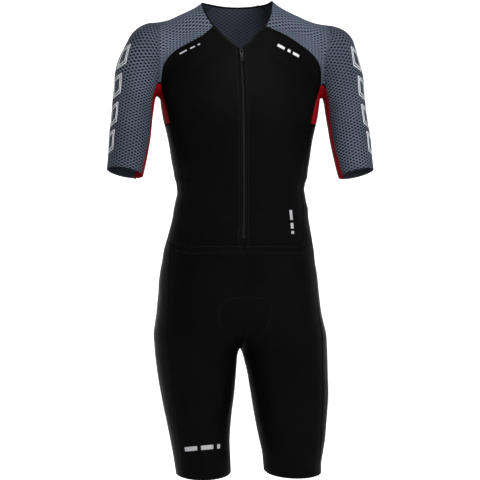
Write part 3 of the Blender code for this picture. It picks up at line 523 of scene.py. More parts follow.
class Surface:
    """The suit's outer surface, on which creases, stitches and marks are placed."""

    BAND = 0.014  # heights this close count as one section of a part
    REACH = 0.4  # a part's cloth is nearer than this to its middle

    def __init__(self, panels: list[Panel]) -> None:
        """Joins the panels' grids into one surface.

        Args:
            panels: The panels.
        """
        self.panels = panels
        vertices, faces = [], []
        for panel in panels:
            faces += (len(vertices) + grid_faces(*panel.points.shape[:2])).tolist()
            vertices += panel.points.reshape(-1, 3).tolist()
        self.tree = BVHTree.FromPolygons(vertices, faces)
        self._centres = {}

    def centre(self, part: Part, height: float) -> np.ndarray:
        """The middle of a part's section at a height, the same for all heights within a millimetre.

        Args:
            part: The part.
            height: The height.

        Returns:
            The middle's place.
        """
        key = part, round(height, 3)
        if key not in self._centres:
            kinds, side = part.value
            points = np.concatenate([
                panel.points.reshape(-1, 3) for panel in self.panels
                if panel.kind in kinds and (side is None or panel.side == side)
            ])
            near = points[abs(points[:, 2] - height) < self.BAND]
            middle = (near.min(axis=0) + near.max(axis=0)) / 2
            self._centres[key] = np.array([middle[0], middle[1], height])
        return self._centres[key]

    def round_part(self, part: Part, degrees: float, height: float) -> np.ndarray | None:
        """The point of the cloth at an angle round a part, or None where there is no cloth.

        Args:
            part: The part.
            degrees: The angle, 0 in front and 90 at the wearer's left.
            height: The height.

        Returns:
            The point, or None.
        """
        turn = math.radians(degrees)
        outward = Vector((math.sin(turn), -math.cos(turn), 0))
        found = self.tree.ray_cast(Vector(self.centre(part, height)), outward, self.REACH)[0]
        return None if found is None else np.array(found)

    def nearest(self, points: np.ndarray) -> tuple[np.ndarray, np.ndarray]:
        """The nearest places on the cloth to some points, and the outward normals there."""
        found = [self.tree.find_nearest(Vector(point)) for point in points]
        return np.array([tuple(hit[0]) for hit in found]), np.array([tuple(hit[1]) for hit in found])

    def cast(self, origin: np.ndarray, directions: np.ndarray) -> np.ndarray:
        """Where rays from one place first meet the cloth, leaving out those that miss it."""
        found = [self.tree.ray_cast(Vector(origin), Vector(way))[0] for way in directions]
        return np.array([tuple(place) for place in found if place is not None])


@dataclass(frozen=True)
class Crease:
    """One soft fold, drawn round a part of the suit from one place to another.

    A place is an angle round the part, 0 in front and 90 at the wearer's left, and a height.
    """

    part: Part
    start: Place
    end: Place
    width: float
    depth: float  # a ridge stands out and a trough is below zero
    bow: float = 0.0  # how far the fold's middle hangs below its ends

    POINTS = 14
    TAPER = 0.8  # the power of the sine that the fold's height follows from end to end
    RECOIL, FALL = 0.55, 1.1  # how far the cloth beside a fold goes the other way, and how soon it is level

    @classmethod
    def read(cls, part: Part, row: tuple[float, ...]) -> "Crease":
        """A crease from its part and its row in CREASES."""
        lengths = [number / 1000 for number in row]
        return cls(part, (row[0], lengths[1]), (row[2], lengths[3]), *lengths[4:])

    def path(self, surface: Surface) -> np.ndarray:
        """The fold's line on the cloth, from its start to its end.

        Args:
            surface: The suit's surface.

        Returns:
            The line's points.
        """
        found = []
        for share in np.linspace(0, 1, self.POINTS):
            degrees = self.start[0] + (self.end[0] - self.start[0]) * share
            height = self.start[1] + (self.end[1] - self.start[1]) * share
            height -= self.bow * math.sin(math.pi * share)
            found.append(surface.round_part(self.part, degrees, height))
        return np.array([point for point in found if point is not None])

    def lift(self, points: np.ndarray, path: np.ndarray) -> np.ndarray:
        """How far the fold moves each point out of the cloth.

        Args:
            points: The cloth's points, shape (points, 3).
            path: The fold's line.

        Returns:
            The distances, above zero for a ridge.
        """
        best, along = np.full(len(points), np.inf), np.zeros(len(points))
        stations = arc_length(path)
        for station, here, step in zip(stations, path, np.diff(path, axis=0)):
            size = max(float(step @ step), 1e-12)
            share = np.clip((points - here) @ step / size, 0, 1)
            distance = np.linalg.norm(points - here - share[:, None] * step, axis=1)
            nearer = distance < best
            best[nearer] = distance[nearer]
            along[nearer] = station + share[nearer] * math.sqrt(size)
        taper = np.sin(math.pi * np.clip(along / stations[-1], 0.0, 1.0)) ** self.TAPER
        reach = (best / self.width) ** 2
        return self.depth * taper * (1 - self.RECOIL * reach) * np.exp(-self.FALL * reach)


# ---- Shaders ----


class Signal:
    """A shader socket with the arithmetic that adds Math nodes."""

    def __init__(self, shader: "Shader", socket: bpy.types.NodeSocket) -> None:
        """Wraps a socket of a shader's node."""
        self.shader = shader
        self.socket = socket

    def maths(self, operation: str, *values: "Signal | float") -> "Signal":
        """The result of one Math node, with the values that go into it in order."""
        return self.shader.node("ShaderNodeMath", {"operation": operation}, dict(enumerate(values)))

    def __add__(self, other: "Signal | float") -> "Signal":
        """self + other."""
        return self.maths("ADD", self, other)

    def __radd__(self, other: float) -> "Signal":
        """other + self."""
        return self.maths("ADD", other, self)

    def __sub__(self, other: "Signal | float") -> "Signal":
        """self - other."""
        return self.maths("SUBTRACT", self, other)

    def __rsub__(self, other: float) -> "Signal":
        """other - self."""
        return self.maths("SUBTRACT", other, self)

    def __mul__(self, other: "Signal | float") -> "Signal":
        """self * other."""
        return self.maths("MULTIPLY", self, other)

    def __rmul__(self, other: float) -> "Signal":
        """other * self."""
        return self.maths("MULTIPLY", other, self)

    def __truediv__(self, other: "Signal | float") -> "Signal":
        """self / other."""
        return self.maths("DIVIDE", self, other)

    def wave(self) -> "Signal":
        """A sine between 0 and 1 that repeats each time self grows by 1."""
        return self.maths("SINE", self * math.tau) * 0.5 + 0.5

    def from_middle(self) -> "Signal":
        """How far self is above or below the middle between two whole numbers."""
        return self.maths("FRACT", self) - 0.5

    def least(self, other: "Signal | float") -> "Signal":
        """The smaller of the two."""
        return self.maths("MINIMUM", self, other)

    def rise(self, low: float, high: float, start: float = 0.0, end: float = 1.0) -> "Signal":
        """A smooth ramp from start, where self is low, to end, where self is high."""
        sockets = {"Value": self, "From Min": low, "From Max": high, "To Min": start, "To Max": end}
        return self.shader.node("ShaderNodeMapRange", {"interpolation_type": "SMOOTHSTEP"}, sockets)

    def spread(self, start: float = 0.0, end: float = 1.0) -> "Signal":
        """Noise, which mostly lies between 0.3 and 0.7, spread from start to end."""
        return self.rise(0.3, 0.7, start, end)

    def about(self, middle: float, reach: float) -> "Signal":
        """Noise spread round a middle value, as far as a reach on both sides."""
        return self.spread(middle - reach, middle + reach)


class Shader:
    """A material whose nodes are made one by one."""

    MIX_FACTOR, MIX_A, MIX_B, MIX_COLOUR = 0, 6, 7, 2

    def __init__(self, name: str) -> None:
        """Makes an empty material.

        Args:
            name: Its name.
        """
        self.material = bpy.data.materials.new(name)
        self.material.use_nodes = True
        self.tree = self.material.node_tree
        self.tree.nodes.clear()

    def node(
        self, kind: str, settings: dict[str, object], sockets: dict[str | int, object], output: str | int = 0
    ) -> Signal:
        """Adds one node.

        Args:
            kind: The node's type.
            settings: Its own settings, which are set first.
            sockets: Values or signals for its inputs, by name or number.
            output: Which of its outputs is returned.

        Returns:
            That output.
        """
        node = self.tree.nodes.new(kind)
        for key, value in settings.items():
            setattr(node, key, value)
        for key, value in sockets.items():
            if isinstance(value, Signal):
                self.tree.links.new(value.socket, node.inputs[key])
            else:
                node.inputs[key].default_value = value
        return Signal(self, node.outputs[output])

    def place(self) -> Signal:
        """The Object coordinates, in metres."""
        return self.node("ShaderNodeTexCoord", {}, {}, "Object")

    def axes(self, vector: Signal) -> list[Signal]:
        """The x, y and z of a vector."""
        first = self.node("ShaderNodeSeparateXYZ", {}, {0: vector})
        return [Signal(self, output) for output in first.socket.node.outputs]

    def cloth_place(self) -> list[Signal]:
        """The place on the flat cloth, in metres, across and up."""
        return self.axes(self.node("ShaderNodeUVMap", {"uv_map": CLOTH_LAYOUT}, {}))[:2]

    def grain(self, scale: float, detail: float = 2.0) -> Signal:
        """Noise over the Object coordinates, with a number of lumps to a metre and finer noise in it."""
        return self.node("ShaderNodeTexNoise", {}, {"Vector": self.place(), "Scale": scale, "Detail": detail})

    def blend(self, share: Signal | float, first: Signal | Colour, second: Signal | Colour) -> Signal:
        """A colour between two others: the first where the share is 0, the second where it is 1."""
        colours = {self.MIX_FACTOR: share, self.MIX_A: opaque(first), self.MIX_B: opaque(second)}
        return self.node("ShaderNodeMix", {"data_type": "RGBA"}, colours, self.MIX_COLOUR)

    def bump(self, height: Signal, distance: float, strength: float) -> Signal:
        """A normal that a height in shares of a distance bends."""
        return self.node("ShaderNodeBump", {}, {"Height": height, "Distance": distance, "Strength": strength})

    def finish(
        self, colour: Signal, roughness: Signal | float, gloss: float, others: dict[str, object]
    ) -> bpy.types.Material:
        """Ends the material in one Principled shader.

        Args:
            colour: Its base colour.
            roughness: Its roughness.
            gloss: The level of its plain reflection.
            others: Values or signals for other inputs of the shader.

        Returns:
            The material.
        """
        sockets = {"Base Color": colour, "Roughness": roughness, "Specular IOR Level": gloss, **others}
        surface = self.node("ShaderNodeBsdfPrincipled", {}, sockets)
        output = self.tree.nodes.new("ShaderNodeOutputMaterial")
        self.tree.links.new(surface.socket, output.inputs["Surface"])
        return self.material


def opaque(colour: Signal | Colour) -> Signal | tuple[float, ...]:
    """A colour with its alpha, and a signal as it is."""
    return colour if isinstance(colour, Signal) else (*colour, 1.0)


def darker(colour: Colour, share: float) -> Colour:
    """The same colour with a share of its light."""
    return tuple(share * value for value in colour)


@dataclass(frozen=True)
class Knit:
    """A plain stretch knit: columns of small loops, and uneven dye."""

    name: str
    colour: Colour
    worn_colour: Colour
    roughness: float
    gloss: float  # the level of its plain reflection

    PITCH = 0.0011  # from one column of loops to the next
    LOOP = 0.72 * PITCH  # from one loop to the next
    LEAN = 0.35  # how far the loops beside a column's middle are shifted, as a share of a loop
    SHADE = 0.62  # the colour's light between the loops

    def material(self) -> bpy.types.Material:
        """Makes the material.

        Returns:
            The material.
        """
        shader = Shader(self.name)
        across, up = shader.cloth_place()
        column = (across / self.PITCH).wave()
        height = column * 0.55 + (up / self.LOOP + column * self.LEAN).wave() * 0.45
        patches, fibres = shader.grain(7.0, 3.0), shader.grain(620.0, 1.0)
        colour = shader.blend(patches.rise(0.35, 0.68), self.colour, self.worn_colour)
        shade = (height * 0.22 + fibres.spread() * 0.16).rise(0.0, 0.38)
        return shader.finish(
            shader.blend(shade * 0.5, colour, darker(self.colour, self.SHADE)),
            patches.spread(self.roughness - 0.05, self.roughness + 0.06), self.gloss,
            {"Normal": shader.bump(height * 0.7 + fibres * 0.3, 0.00022, 0.55)},
        )


@dataclass(frozen=True)
class DottedMesh:
    """A honeycomb warp knit: dark oval holes in staggered rows, with paler yarn between them, lightened
    further there by a painted highlight.
    """

    name: str
    yarn: Colour
    # the ridges' colour: the yarn's own paler tone together with a painted highlight
    pale_yarn: Colour
    hole: Colour
    pitch: Place  # from hole to hole along a row, and over two rows
    size: Place  # a hole's half width and half height, as shares of the pitch
    contrast: float = 1.0

    LOOP = (0.0009, 0.0008)  # the yarn's loops, across and up
    WANDER = 0.08  # how far the rows wander, as a share of the pitch
    SHADE = 0.45  # the yarn's light between its loops
    GLOSS = 0.10

    def material(self) -> bpy.types.Material:
        """Makes the material.

        Returns:
            The material.
        """
        shader = Shader(self.name)
        across, up = shader.cloth_place()
        wander = shader.grain(34.0, 1.0) * self.WANDER - self.WANDER / 2
        x, y = across / self.pitch[0] + wander, up / self.pitch[1] + wander * 0.5
        apart = self._from_hole(x, y).least(self._from_hole(x + 0.5, y + 0.5))
        hole, ridge = apart.rise(0.62, 1.25, 1.0, 0.0), apart.rise(1.2, 2.6)
        loops = (across / self.LOOP[0]).wave() * 0.5 + (up / self.LOOP[1]).wave() * 0.5
        # the ridges between the holes are painted paler: partly the yarn's own tone, partly a painted
        # highlight
        yarn = shader.blend(ridge * shader.grain(9.0).spread(0.55, 1.0), self.yarn, self.pale_yarn)
        yarn = shader.blend(loops * 0.16, yarn, darker(self.yarn, self.SHADE))
        return shader.finish(
            shader.blend(hole * self.contrast, yarn, self.hole), hole.rise(0.0, 1.0, 0.72, 0.92), self.GLOSS,
            {"Normal": shader.bump(ridge * 0.35 - hole + loops * 0.08, 0.00045, 0.6)},
        )

    def _from_hole(self, x: Signal, y: Signal) -> Signal:
        """How far a place is from the nearest hole's middle, 1 at its edge."""
        wide, high = x.from_middle() / self.size[0], y.from_middle() / self.size[1]
        return wide * wide + high * high


@dataclass(frozen=True)
class Thread:
    """Twisted sewing thread or a folded tape, with fine turns along it."""

    name: str
    colour: Colour
    roughness: float
    gloss: float
    turn: float = 0.0011

    SHADE = 0.5  # the colour's light between the turns

    def material(self) -> bpy.types.Material:
        """Makes the material.

        Returns:
            The material.
        """
        shader = Shader(self.name)
        x, _, z = shader.axes(shader.place())
        turns, fuzz = ((z + x * 0.7) / self.turn).wave(), shader.grain(900.0, 1.0)
        shade = turns * 0.35 + fuzz.spread() * 0.2
        return shader.finish(
            shader.blend(shade, self.colour, darker(self.colour, self.SHADE)),
            fuzz.about(self.roughness, 0.08), self.gloss,
            {"Normal": shader.bump(turns * 0.7 + fuzz * 0.3, 0.0002, 0.5)},
        )


@dataclass(frozen=True)
class Hard:
    """Moulded nylon or plated metal, worn paler where it is handled."""

    name: str
    colour: Colour
    worn_colour: Colour
    roughness: float
    metallic: float
    gloss: float

    def material(self) -> bpy.types.Material:
        """Makes the material.

        Returns:
            The material.
        """
        shader = Shader(self.name)
        scratches, smears = shader.grain(1400.0, 3.0), shader.grain(160.0)
        wear = smears.rise(0.48, 0.7) * scratches.rise(0.42, 0.62)
        return shader.finish(
            shader.blend(wear, self.colour, self.worn_colour),
            scratches.about(self.roughness, 0.1), self.gloss,
            {"Metallic": self.metallic, "Normal": shader.bump(scratches, 0.00005, 0.3)},
        )


@dataclass(frozen=True)
class Print:
    """A rubbery film mark pressed on the cloth, finely cracked where it stretches."""

    name: str
    colour: Colour
    cracked_colour: Colour

    ROUGHNESS, GLOSS = 0.5, 0.35
    CELLS = 260.0  # to a metre, between the cracks

    def material(self) -> bpy.types.Material:
        """Makes the material.

        Returns:
            The material.
        """
        shader = Shader(self.name)
        sockets = {"Vector": shader.place(), "Scale": self.CELLS}
        cells = shader.node("ShaderNodeTexVoronoi", {"feature": "DISTANCE_TO_EDGE"}, sockets)
        crack = cells.rise(0.0, 0.06, 1.0, 0.0) * shader.grain(60.0).rise(0.5, 0.62)
        return shader.finish(
            shader.blend(crack, self.colour, self.cracked_colour),
            shader.grain(300.0).about(self.ROUGHNESS, 0.08), self.GLOSS,
            {"Normal": shader.bump(1.0 - crack, 0.00008, 0.4)},
        )


class Finish(Enum):
    """Every finish on the suit, each made into a material once."""

    BLACK_KNIT = Knit("black_knit", (0.0011, 0.0011, 0.0011), (0.0016, 0.0016, 0.0016), 0.48, 0.011)
    BLACK_INSIDE = Knit("black_knit_inside", (0.0024, 0.0024, 0.0027), (0.0034, 0.0034, 0.0038), 0.8, 0.02)
    SHEEN_KNIT = Knit("sheen_knit", (0.0010, 0.0010, 0.0010), (0.0016, 0.0016, 0.0016), 0.40, 0.013)
    RED_KNIT = Knit("red_knit", (0.124, 0.0016, 0.0034), (0.165, 0.0024, 0.0050), 0.66, 0.015)
    GREY_MESH = DottedMesh(
        "grey_mesh", (0.012, 0.015, 0.023), (0.051, 0.062, 0.085), (0.0008, 0.0013, 0.0036),
        (0.0146, 0.0074), (0.190, 0.235))
    YOKE_MESH = DottedMesh(
        "grey_mesh_yoke", (0.021, 0.026, 0.038), (0.068, 0.082, 0.110), (0.0018, 0.0028, 0.0066),
        (0.0146, 0.0072), (0.185, 0.235))
    MESH_INSIDE = DottedMesh(
        "mesh_inside", (0.014, 0.017, 0.024), (0.024, 0.028, 0.039), (0.0060, 0.0072, 0.0120),
        (0.0120, 0.0075), (0.19, 0.22), contrast=0.7)
    BLACK_THREAD = Thread("black_thread", (0.0010, 0.0010, 0.0011), 0.6, 0.022)
    SOFT_THREAD = Thread("soft_thread", (0.0125, 0.0125, 0.0130), 0.6, 0.09)
    GREY_THREAD = Thread("grey_thread", (0.028, 0.034, 0.048), 0.6, 0.08)
    RED_THREAD = Thread("red_thread", (0.13, 0.0025, 0.005), 0.6, 0.05)
    BINDING = Thread("binding", (0.0020, 0.0020, 0.0022), 0.7, 0.03, 0.0008)
    TAPE = Thread("zip_tape", (0.0016, 0.0016, 0.0018), 0.75, 0.03, 0.0009)
    TEETH = Hard("zip_teeth", (0.0050, 0.0050, 0.0054), (0.012, 0.012, 0.013), 0.42, 0.0, 0.08)
    METAL = Hard("dark_metal", (0.0045, 0.0045, 0.0050), (0.018, 0.018, 0.019), 0.42, 1.0, 0.5)
    PALE_PRINT = Print("pale_print", (0.42, 0.43, 0.45), (0.20, 0.21, 0.22))
    WHITE_PRINT = Print("white_print", (0.32, 0.32, 0.33), (0.18, 0.18, 0.19))
    GREY_PRINT = Print("grey_print", (0.20, 0.20, 0.21), (0.12, 0.12, 0.13))

    @cached_property
    def material(self) -> bpy.types.Material:
        """The finish's material, made the first time that it is asked for."""
        return self.value.material()


# ---- Making meshes ----


def mesh_piece(name: str, vertices: list, faces: list, *finishes: Finish) -> bpy.types.Object:
    """A mesh piece of the suit, smooth all over, on the cloth's body.

    Args:
        name: The piece's name.
        vertices: Its points.
        faces: Point numbers of each face.
        finishes: Its materials.

    Returns:
        The object.
    """
    mesh = new_mesh(name, vertices, faces)
    for finish in finishes:
        mesh.materials.append(finish.material)
    obj = link(name, mesh)
    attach(obj, SUIT)
    return obj


@dataclass
class Sweep:
    """Tubes of a closed section, swept along lines on the cloth and joined into one mesh."""

    section: np.ndarray  # across the line and out of the cloth, anticlockwise seen along the line
    vertices: list = field(default_factory=list)
    faces: list = field(default_factory=list)

    STITCH = np.array([0.45, 1.0, 1.0, 0.45])  # the section's size along one stitch

    def add(
        self, path: np.ndarray, normals: np.ndarray, scale: float | np.ndarray = 1.0,
        section: np.ndarray | None = None,
    ) -> None:
        """Sweeps the section along one open line and closes its ends.

        Args:
            path: The line's points.
            normals: The cloth's outward normal at each.
            scale: The section's size, or its size at each point.
            section: Another section for this line alone.
        """
        section = self.section if section is None else section
        ahead = unit(np.gradient(path, axis=0))
        normals = unit(normals - (normals * ahead).sum(axis=1, keepdims=True) * ahead)
        across = np.cross(normals, ahead)
        sized = section[None] * np.broadcast_to(scale, len(path))[:, None, None]
        rings = path[:, None] + sized[..., :1] * across[:, None] + sized[..., 1:] * normals[:, None]
        count = len(section)
        here = len(self.vertices) + np.arange(count)
        following = np.roll(here, -1)
        self.vertices += rings.reshape(-1, 3).tolist()
        band = np.stack([here, following, following + count, here + count], axis=1)
        for ring in range(len(path) - 1):
            self.faces += (band + ring * count).tolist()
        self.faces += [here[::-1].tolist(), (here + (len(path) - 1) * count).tolist()]

    def piece(self, name: str, finish: Finish, slot: str) -> bpy.types.Object:
        """The joined mesh as one piece, its faces all turned out.

        Args:
            name: The piece's name.
            finish: Its material.
            slot: The name of the slot; not used.

        Returns:
            The object.
        """
        obj = mesh_piece(name, self.vertices, self.faces, finish)
        shape = bmesh.new()
        shape.from_mesh(obj.data)
        bmesh.ops.recalc_face_normals(shape, faces=shape.faces)
        shape.to_mesh(obj.data)
        shape.free()
        return obj


def oval(half_width: float, half_height: float, sides: int, lift: float = 0.0) -> np.ndarray:
    """A section's outline as an oval.

    Args:
        half_width: Half its size across the line.
        half_height: Half its size out of the cloth.
        sides: How many points it has.
        lift: How far its middle stands out of the cloth.

    Returns:
        The outline's points.
    """
    turns = np.arange(sides) * math.tau / sides
    return np.stack([half_width * np.cos(turns), lift + half_height * np.sin(turns)], axis=1)


def mirrored(half: list[Place]) -> np.ndarray:
    """A section's outline from its right half, which starts at the underside."""
    other = [(-x, y) for x, y in half]
    return np.array([other[0], *half, *other[:0:-1]])


# ---- Cloth ----

# for each kind of panel: its finish outside and inside, and its material slot
DRESS = {
    Kind.BACK: (Finish.YOKE_MESH, Finish.MESH_INSIDE, "grey_mesh"),
    Kind.YOKE: (Finish.YOKE_MESH, Finish.MESH_INSIDE, "grey_mesh"),
    Kind.SLEEVE: (Finish.GREY_MESH, Finish.MESH_INSIDE, "grey_mesh"),
    Kind.GUSSET: (Finish.RED_KNIT, Finish.RED_KNIT, "red_knit"),
    Kind.LEG_STRIP: (Finish.SHEEN_KNIT, Finish.BLACK_INSIDE, "sheen_knit"),
}
BLACK_DRESS = (Finish.BLACK_KNIT, Finish.BLACK_INSIDE, "black_knit")  # for all the other kinds

# first angle and height, last angle and height, width, depth and bow, in degrees and millimetres
CREASES = {
    Part.TORSO: (
        # front of the chest, from the armholes inwards, and beside the zip
        (-58, -190, -24, -232, 12, 1.6), (-62, -222, -38, -268, 10, -1.1), (60, -196, 30, -226, 11, 1.4),
        (64, -236, 36, -262, 12, -1.2), (-52, -152, -30, -118, 12, -1.2), (53, -155, 28, -121, 11, -1),
        (3, -205, 24, -214, 8, 0.8), (-3, -262, -20, -254, 8, 0.7), (3, -331, 27, -343, 9, 0.9, 3),
        (-3, -395, -26, -384, 9, 0.8), (3, -452, 30, -447, 9, 1, 4), (-4, -468, -34, -459, 10, 0.9),
        # the waist's sides, front and back
        (-108, -360, -44, -392, 13, 2.2, 4), (-112, -396, -56, -420, 12, -1.7),
        (-100, -434, -50, -436, 10, 1.3, 4), (112, -352, 52, -381, 14, 2, 3),
        (106, -389, 48, -407, 11, -1.5), (116, -428, 60, -436, 12, 1.5, 3),
        # the small of the back and between the shoulder blades
        (128, -372, 205, -384, 15, 2.4, 8), (150, -408, 236, -399, 13, -1.9, 6),
        (138, -432, 192, -441, 12, 1.7, 5), (178, -457, 232, -449, 12, 1.5, 4),
        (118, -225, 156, -190, 14, 1.8), (242, -232, 206, -184, 13, 1.6), (122, -262, 160, -246, 13, -1.4),
        (238, -270, 208, -238, 12, -1.3), (171, -120, 174, -300, 20, -1.6),
        (196, -150, 192, -262, 14, 1.2),
    ),
    Part.LEFT_ARM: (
        # the sleeves: from the armpit over the inner arm, and above the cuff
        (-72, -196, -8, -172, 10, 1.5), (-78, -232, -18, -222, 9, -1.1, 3),
        (-66, -292, 22, -278, 10, 1.3, 4), (-40, -333, 48, -322, 9, -1, 3),
        (250, -204, 176, -176, 11, 1.6), (252, -282, 158, -262, 11, 1.7, 5),
        (240, -318, 150, -312, 10, -1.3, 4), (66, -132, 98, -236, 14, 0.9),
    ),
    Part.RIGHT_ARM: (
        (70, -192, 10, -176, 10, 1.4), (76, -240, 22, -226, 9, -1.2, 3), (62, -286, -16, -292, 11, 1.4, 4),
        (44, -330, -40, -336, 9, -1.1, 2), (-248, -210, -182, -172, 11, 1.5),
        (-250, -274, -156, -270, 12, 1.8, 5), (-238, -322, -160, -306, 10, -1.2, 3),
        (-62, -150, -94, -248, 13, 1),
    ),
    Part.LEFT_LEG: (
        # the groin, the inner thighs and the knees' hems
        (-66, -742, -8, -660, 12, 1.6, -4), (-62, -778, -14, -724, 11, -1.4),
        (-58, -760, -34, -930, 14, -1.9), (-30, -868, 38, -858, 12, 1.1, 4),
        (-52, -952, 16, -958, 9, 0.9, 2), (132, -742, 232, -731, 14, 2.2, 8),
        (146, -778, 222, -772, 11, -1.5, 6), (124, -898, 214, -912, 12, 1.5, 4),
        (138, -934, 226, -941, 10, -1.2, 3),
    ),
    Part.RIGHT_LEG: (
        (64, -745, 10, -668, 12, 1.5, -4), (58, -786, 16, -730, 11, -1.3), (52, -770, 32, -902, 12, -1.3),
        (34, -852, -34, -864, 12, 1, 4), (48, -948, -20, -960, 9, 0.9, 2),
        (-136, -738, -230, -734, 14, 2.1, 8), (-142, -782, -224, -770, 11, -1.5, 6),
        (-128, -890, -206, -908, 12, 1.4, 4), (-150, -930, -228, -938, 10, -1.1, 3),
    ),
}


@dataclass
class Seam:
    """A line along which two panels are sewn to each other."""

    names: tuple[str, str]
    path: np.ndarray
    normals: np.ndarray

    def kinds(self) -> set[str]:
        """The kinds of the two panels, as the start of their names."""
        return {name.rsplit("_", 1)[0] if name.endswith(tuple(SIDES)) else name for name in self.names}


@dataclass
class Cloth:
    """All the panels: drawn from the frame, sewn edge to edge, creased, and given their thickness."""

    panels: list[Panel] = field(default_factory=list)
    seams: list[Seam] = field(default_factory=list)
    edges: list[tuple[np.ndarray, np.ndarray]] = field(default_factory=list)  # free edges: points and normals

    unevenness: float = 0.0007  # how far the cloth wanders where nothing folds it
    lumps: tuple[Place, ...] = ((11.0, 1.3), (31.0, 0.45))  # of that wandering: to a metre, and their weight
    seam_dip: float = 0.0005  # how far a seam draws the cloth in
    seam_dip_width: float = 0.005
    seam_reach: float = 0.0022  # two edges nearer than this are sewn to each other
    edge_cuts: int = 6  # points looked at along each step of an edge, when neighbours are found
    shortest_run: int = 4  # a shorter stretch of edge points is a slip at a corner

    def build(self) -> None:
        """Draws the panels, sews them and folds them."""
        kinds = [kind for kind in Kind if kind is not Kind.BACK]
        self.panels = [Panel(Kind.BACK, None)] + [Panel(kind, side) for side in SIDES for kind in kinds]
        self._sew()
        surface = Surface(self.panels)
        creases = [Crease.read(part, row) for part, rows in CREASES.items() for row in rows]
        paths = [(crease, crease.path(surface)) for crease in creases]
        dips = point_tree([
            point for panel in self.panels
            for point, partner in zip(panel.points[panel.loop], panel.partners) if partner
        ])
        for panel in self.panels:
            points = panel.points.reshape(-1, 3)
            lift = sum(crease.lift(points, path) for crease, path in paths if len(path) > 2)
            lift += [self.unevenness * self._wander(point) for point in points]
            nearest = np.array([dips.find(Vector(point))[2] for point in points])
            lift -= self.seam_dip * np.exp(-((nearest / self.seam_dip_width) ** 2))
            moved = points + lift[:, None] * panel.normals.reshape(-1, 3)
            panel.points = moved.reshape(panel.points.shape)
        self._measure()
        self._find_seams()

    def _wander(self, point: np.ndarray) -> float:
        """Slow noise over space, about -1 to 1."""
        return sum(noise.noise(Vector(point * scale)) * weight for scale, weight in self.lumps)

    def _dense_edges(self) -> tuple[np.ndarray, np.ndarray, np.ndarray]:
        """Points close together along every panel's edge, the number of the panel, and the normals.

        Returns:
            The points, the numbers and the normals, in one order.
        """
        places, owners, normals = [], [], []
        for number, panel in enumerate(self.panels):
            edge, normal = panel.points[panel.loop], panel.normals[panel.loop]
            for share in np.arange(self.edge_cuts) / self.edge_cuts:
                places.append(edge + share * (np.roll(edge, -1, axis=0) - edge))
                normals.append(normal + share * (np.roll(normal, -1, axis=0) - normal))
                owners.append(np.full(len(edge), number))
        return np.concatenate(places), np.concatenate(owners), np.concatenate(normals)

    def _partners(self, places: np.ndarray, owners: np.ndarray) -> list[np.ndarray]:
        """For each panel's edge points, which dense edge point of another panel is the nearest.

        Args:
            places: The dense edge points.
            owners: The number of the panel that each belongs to.

        Returns:
            The numbers of the nearest points, or -1 where none is near.
        """
        tree = point_tree(places)
        found = []
        for number, panel in enumerate(self.panels):
            matches = []
            for point in panel.points[panel.loop]:
                reached = tree.find_range(point, self.seam_reach)
                near = [(distance, index) for _, index, distance in reached if owners[index] != number]
                matches.append(min(near)[1] if near else -1)
            found.append(np.array(matches))
        return found

    def _sew(self) -> None:
        """Moves sewn edges halfway to each other, and notes which panel each edge point is sewn to."""
        places, owners, _ = self._dense_edges()
        for panel, match in zip(self.panels, self._partners(places, owners)):
            sewn = match >= 0
            edge = panel.points[panel.loop]
            edge[sewn] = (edge[sewn] + places[match[sewn]]) / 2
            panel.points[panel.loop] = edge
            panel.partners = np.array([self.panels[owners[at]].name if at >= 0 else "" for at in match])
        self._measure()

    def _measure(self) -> None:
        """Measures the panels, and gives sewn edges the mean of both normals, so folds run over a seam."""
        for panel in self.panels:
            panel.measure()
        places, owners, normals = self._dense_edges()
        for panel, match in zip(self.panels, self._partners(places, owners)):
            sewn = match >= 0
            own = panel.normals[panel.loop]
            own[sewn] = unit(own[sewn] + normals[match[sewn]])
            panel.normals[panel.loop] = own

    def _find_seams(self) -> None:
        """Cuts each panel's edge into stretches sewn to one panel, and stretches that are free."""
        for panel in self.panels:
            arrays = panel.points[panel.loop], panel.normals[panel.loop], panel.partners
            changes = np.flatnonzero(arrays[2] != np.roll(arrays[2], 1))
            if not len(changes):
                continue
            edge, normals, labels = (np.roll(array, -changes[0], axis=0) for array in arrays)
            starts = np.flatnonzero(labels != np.roll(labels, 1))
            for start, end in zip(starts, [*starts[1:], len(labels)]):
                stretch = np.arange(start, end + 1) % len(labels)
                if len(stretch) < self.shortest_run:
                    continue
                if not labels[start]:
                    self.edges.append((edge[stretch], normals[stretch]))
                elif panel.name < labels[start]:
                    names = (panel.name, str(labels[start]))
                    self.seams.append(Seam(names, edge[stretch], normals[stretch]))

    def dress(self) -> None:
        """Makes each panel a thin shell in its own finish."""
        for panel in self.panels:
            outside, inside, slot = DRESS.get(panel.kind, BLACK_DRESS)
            points, faces = panel.points.reshape(-1, 3), grid_faces(*panel.points.shape[:2])
            obj = mesh_piece(f"cloth_{panel.name}", points.tolist(), faces.tolist(), outside, inside)
            places = panel.layout().reshape(-1, 2)[corner_points(obj.data)]
            obj.data.uv_layers.new(name=CLOTH_LAYOUT).data.foreach_set("uv", places.reshape(-1))
            shell = obj.modifiers.new("thickness", "SOLIDIFY")
            shell.thickness = CLOTH_THICKNESS
            shell.offset = -1.0
            shell.material_offset = 1
            shell.material_offset_rim = 0
            apply_modifiers(obj)
            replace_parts(obj, panel.name)
            LOG.info("%s: %d points, flat %.3f by %.3f m", obj.name, len(obj.data.vertices), *panel.flat)


# ---- Seams and stitches ----


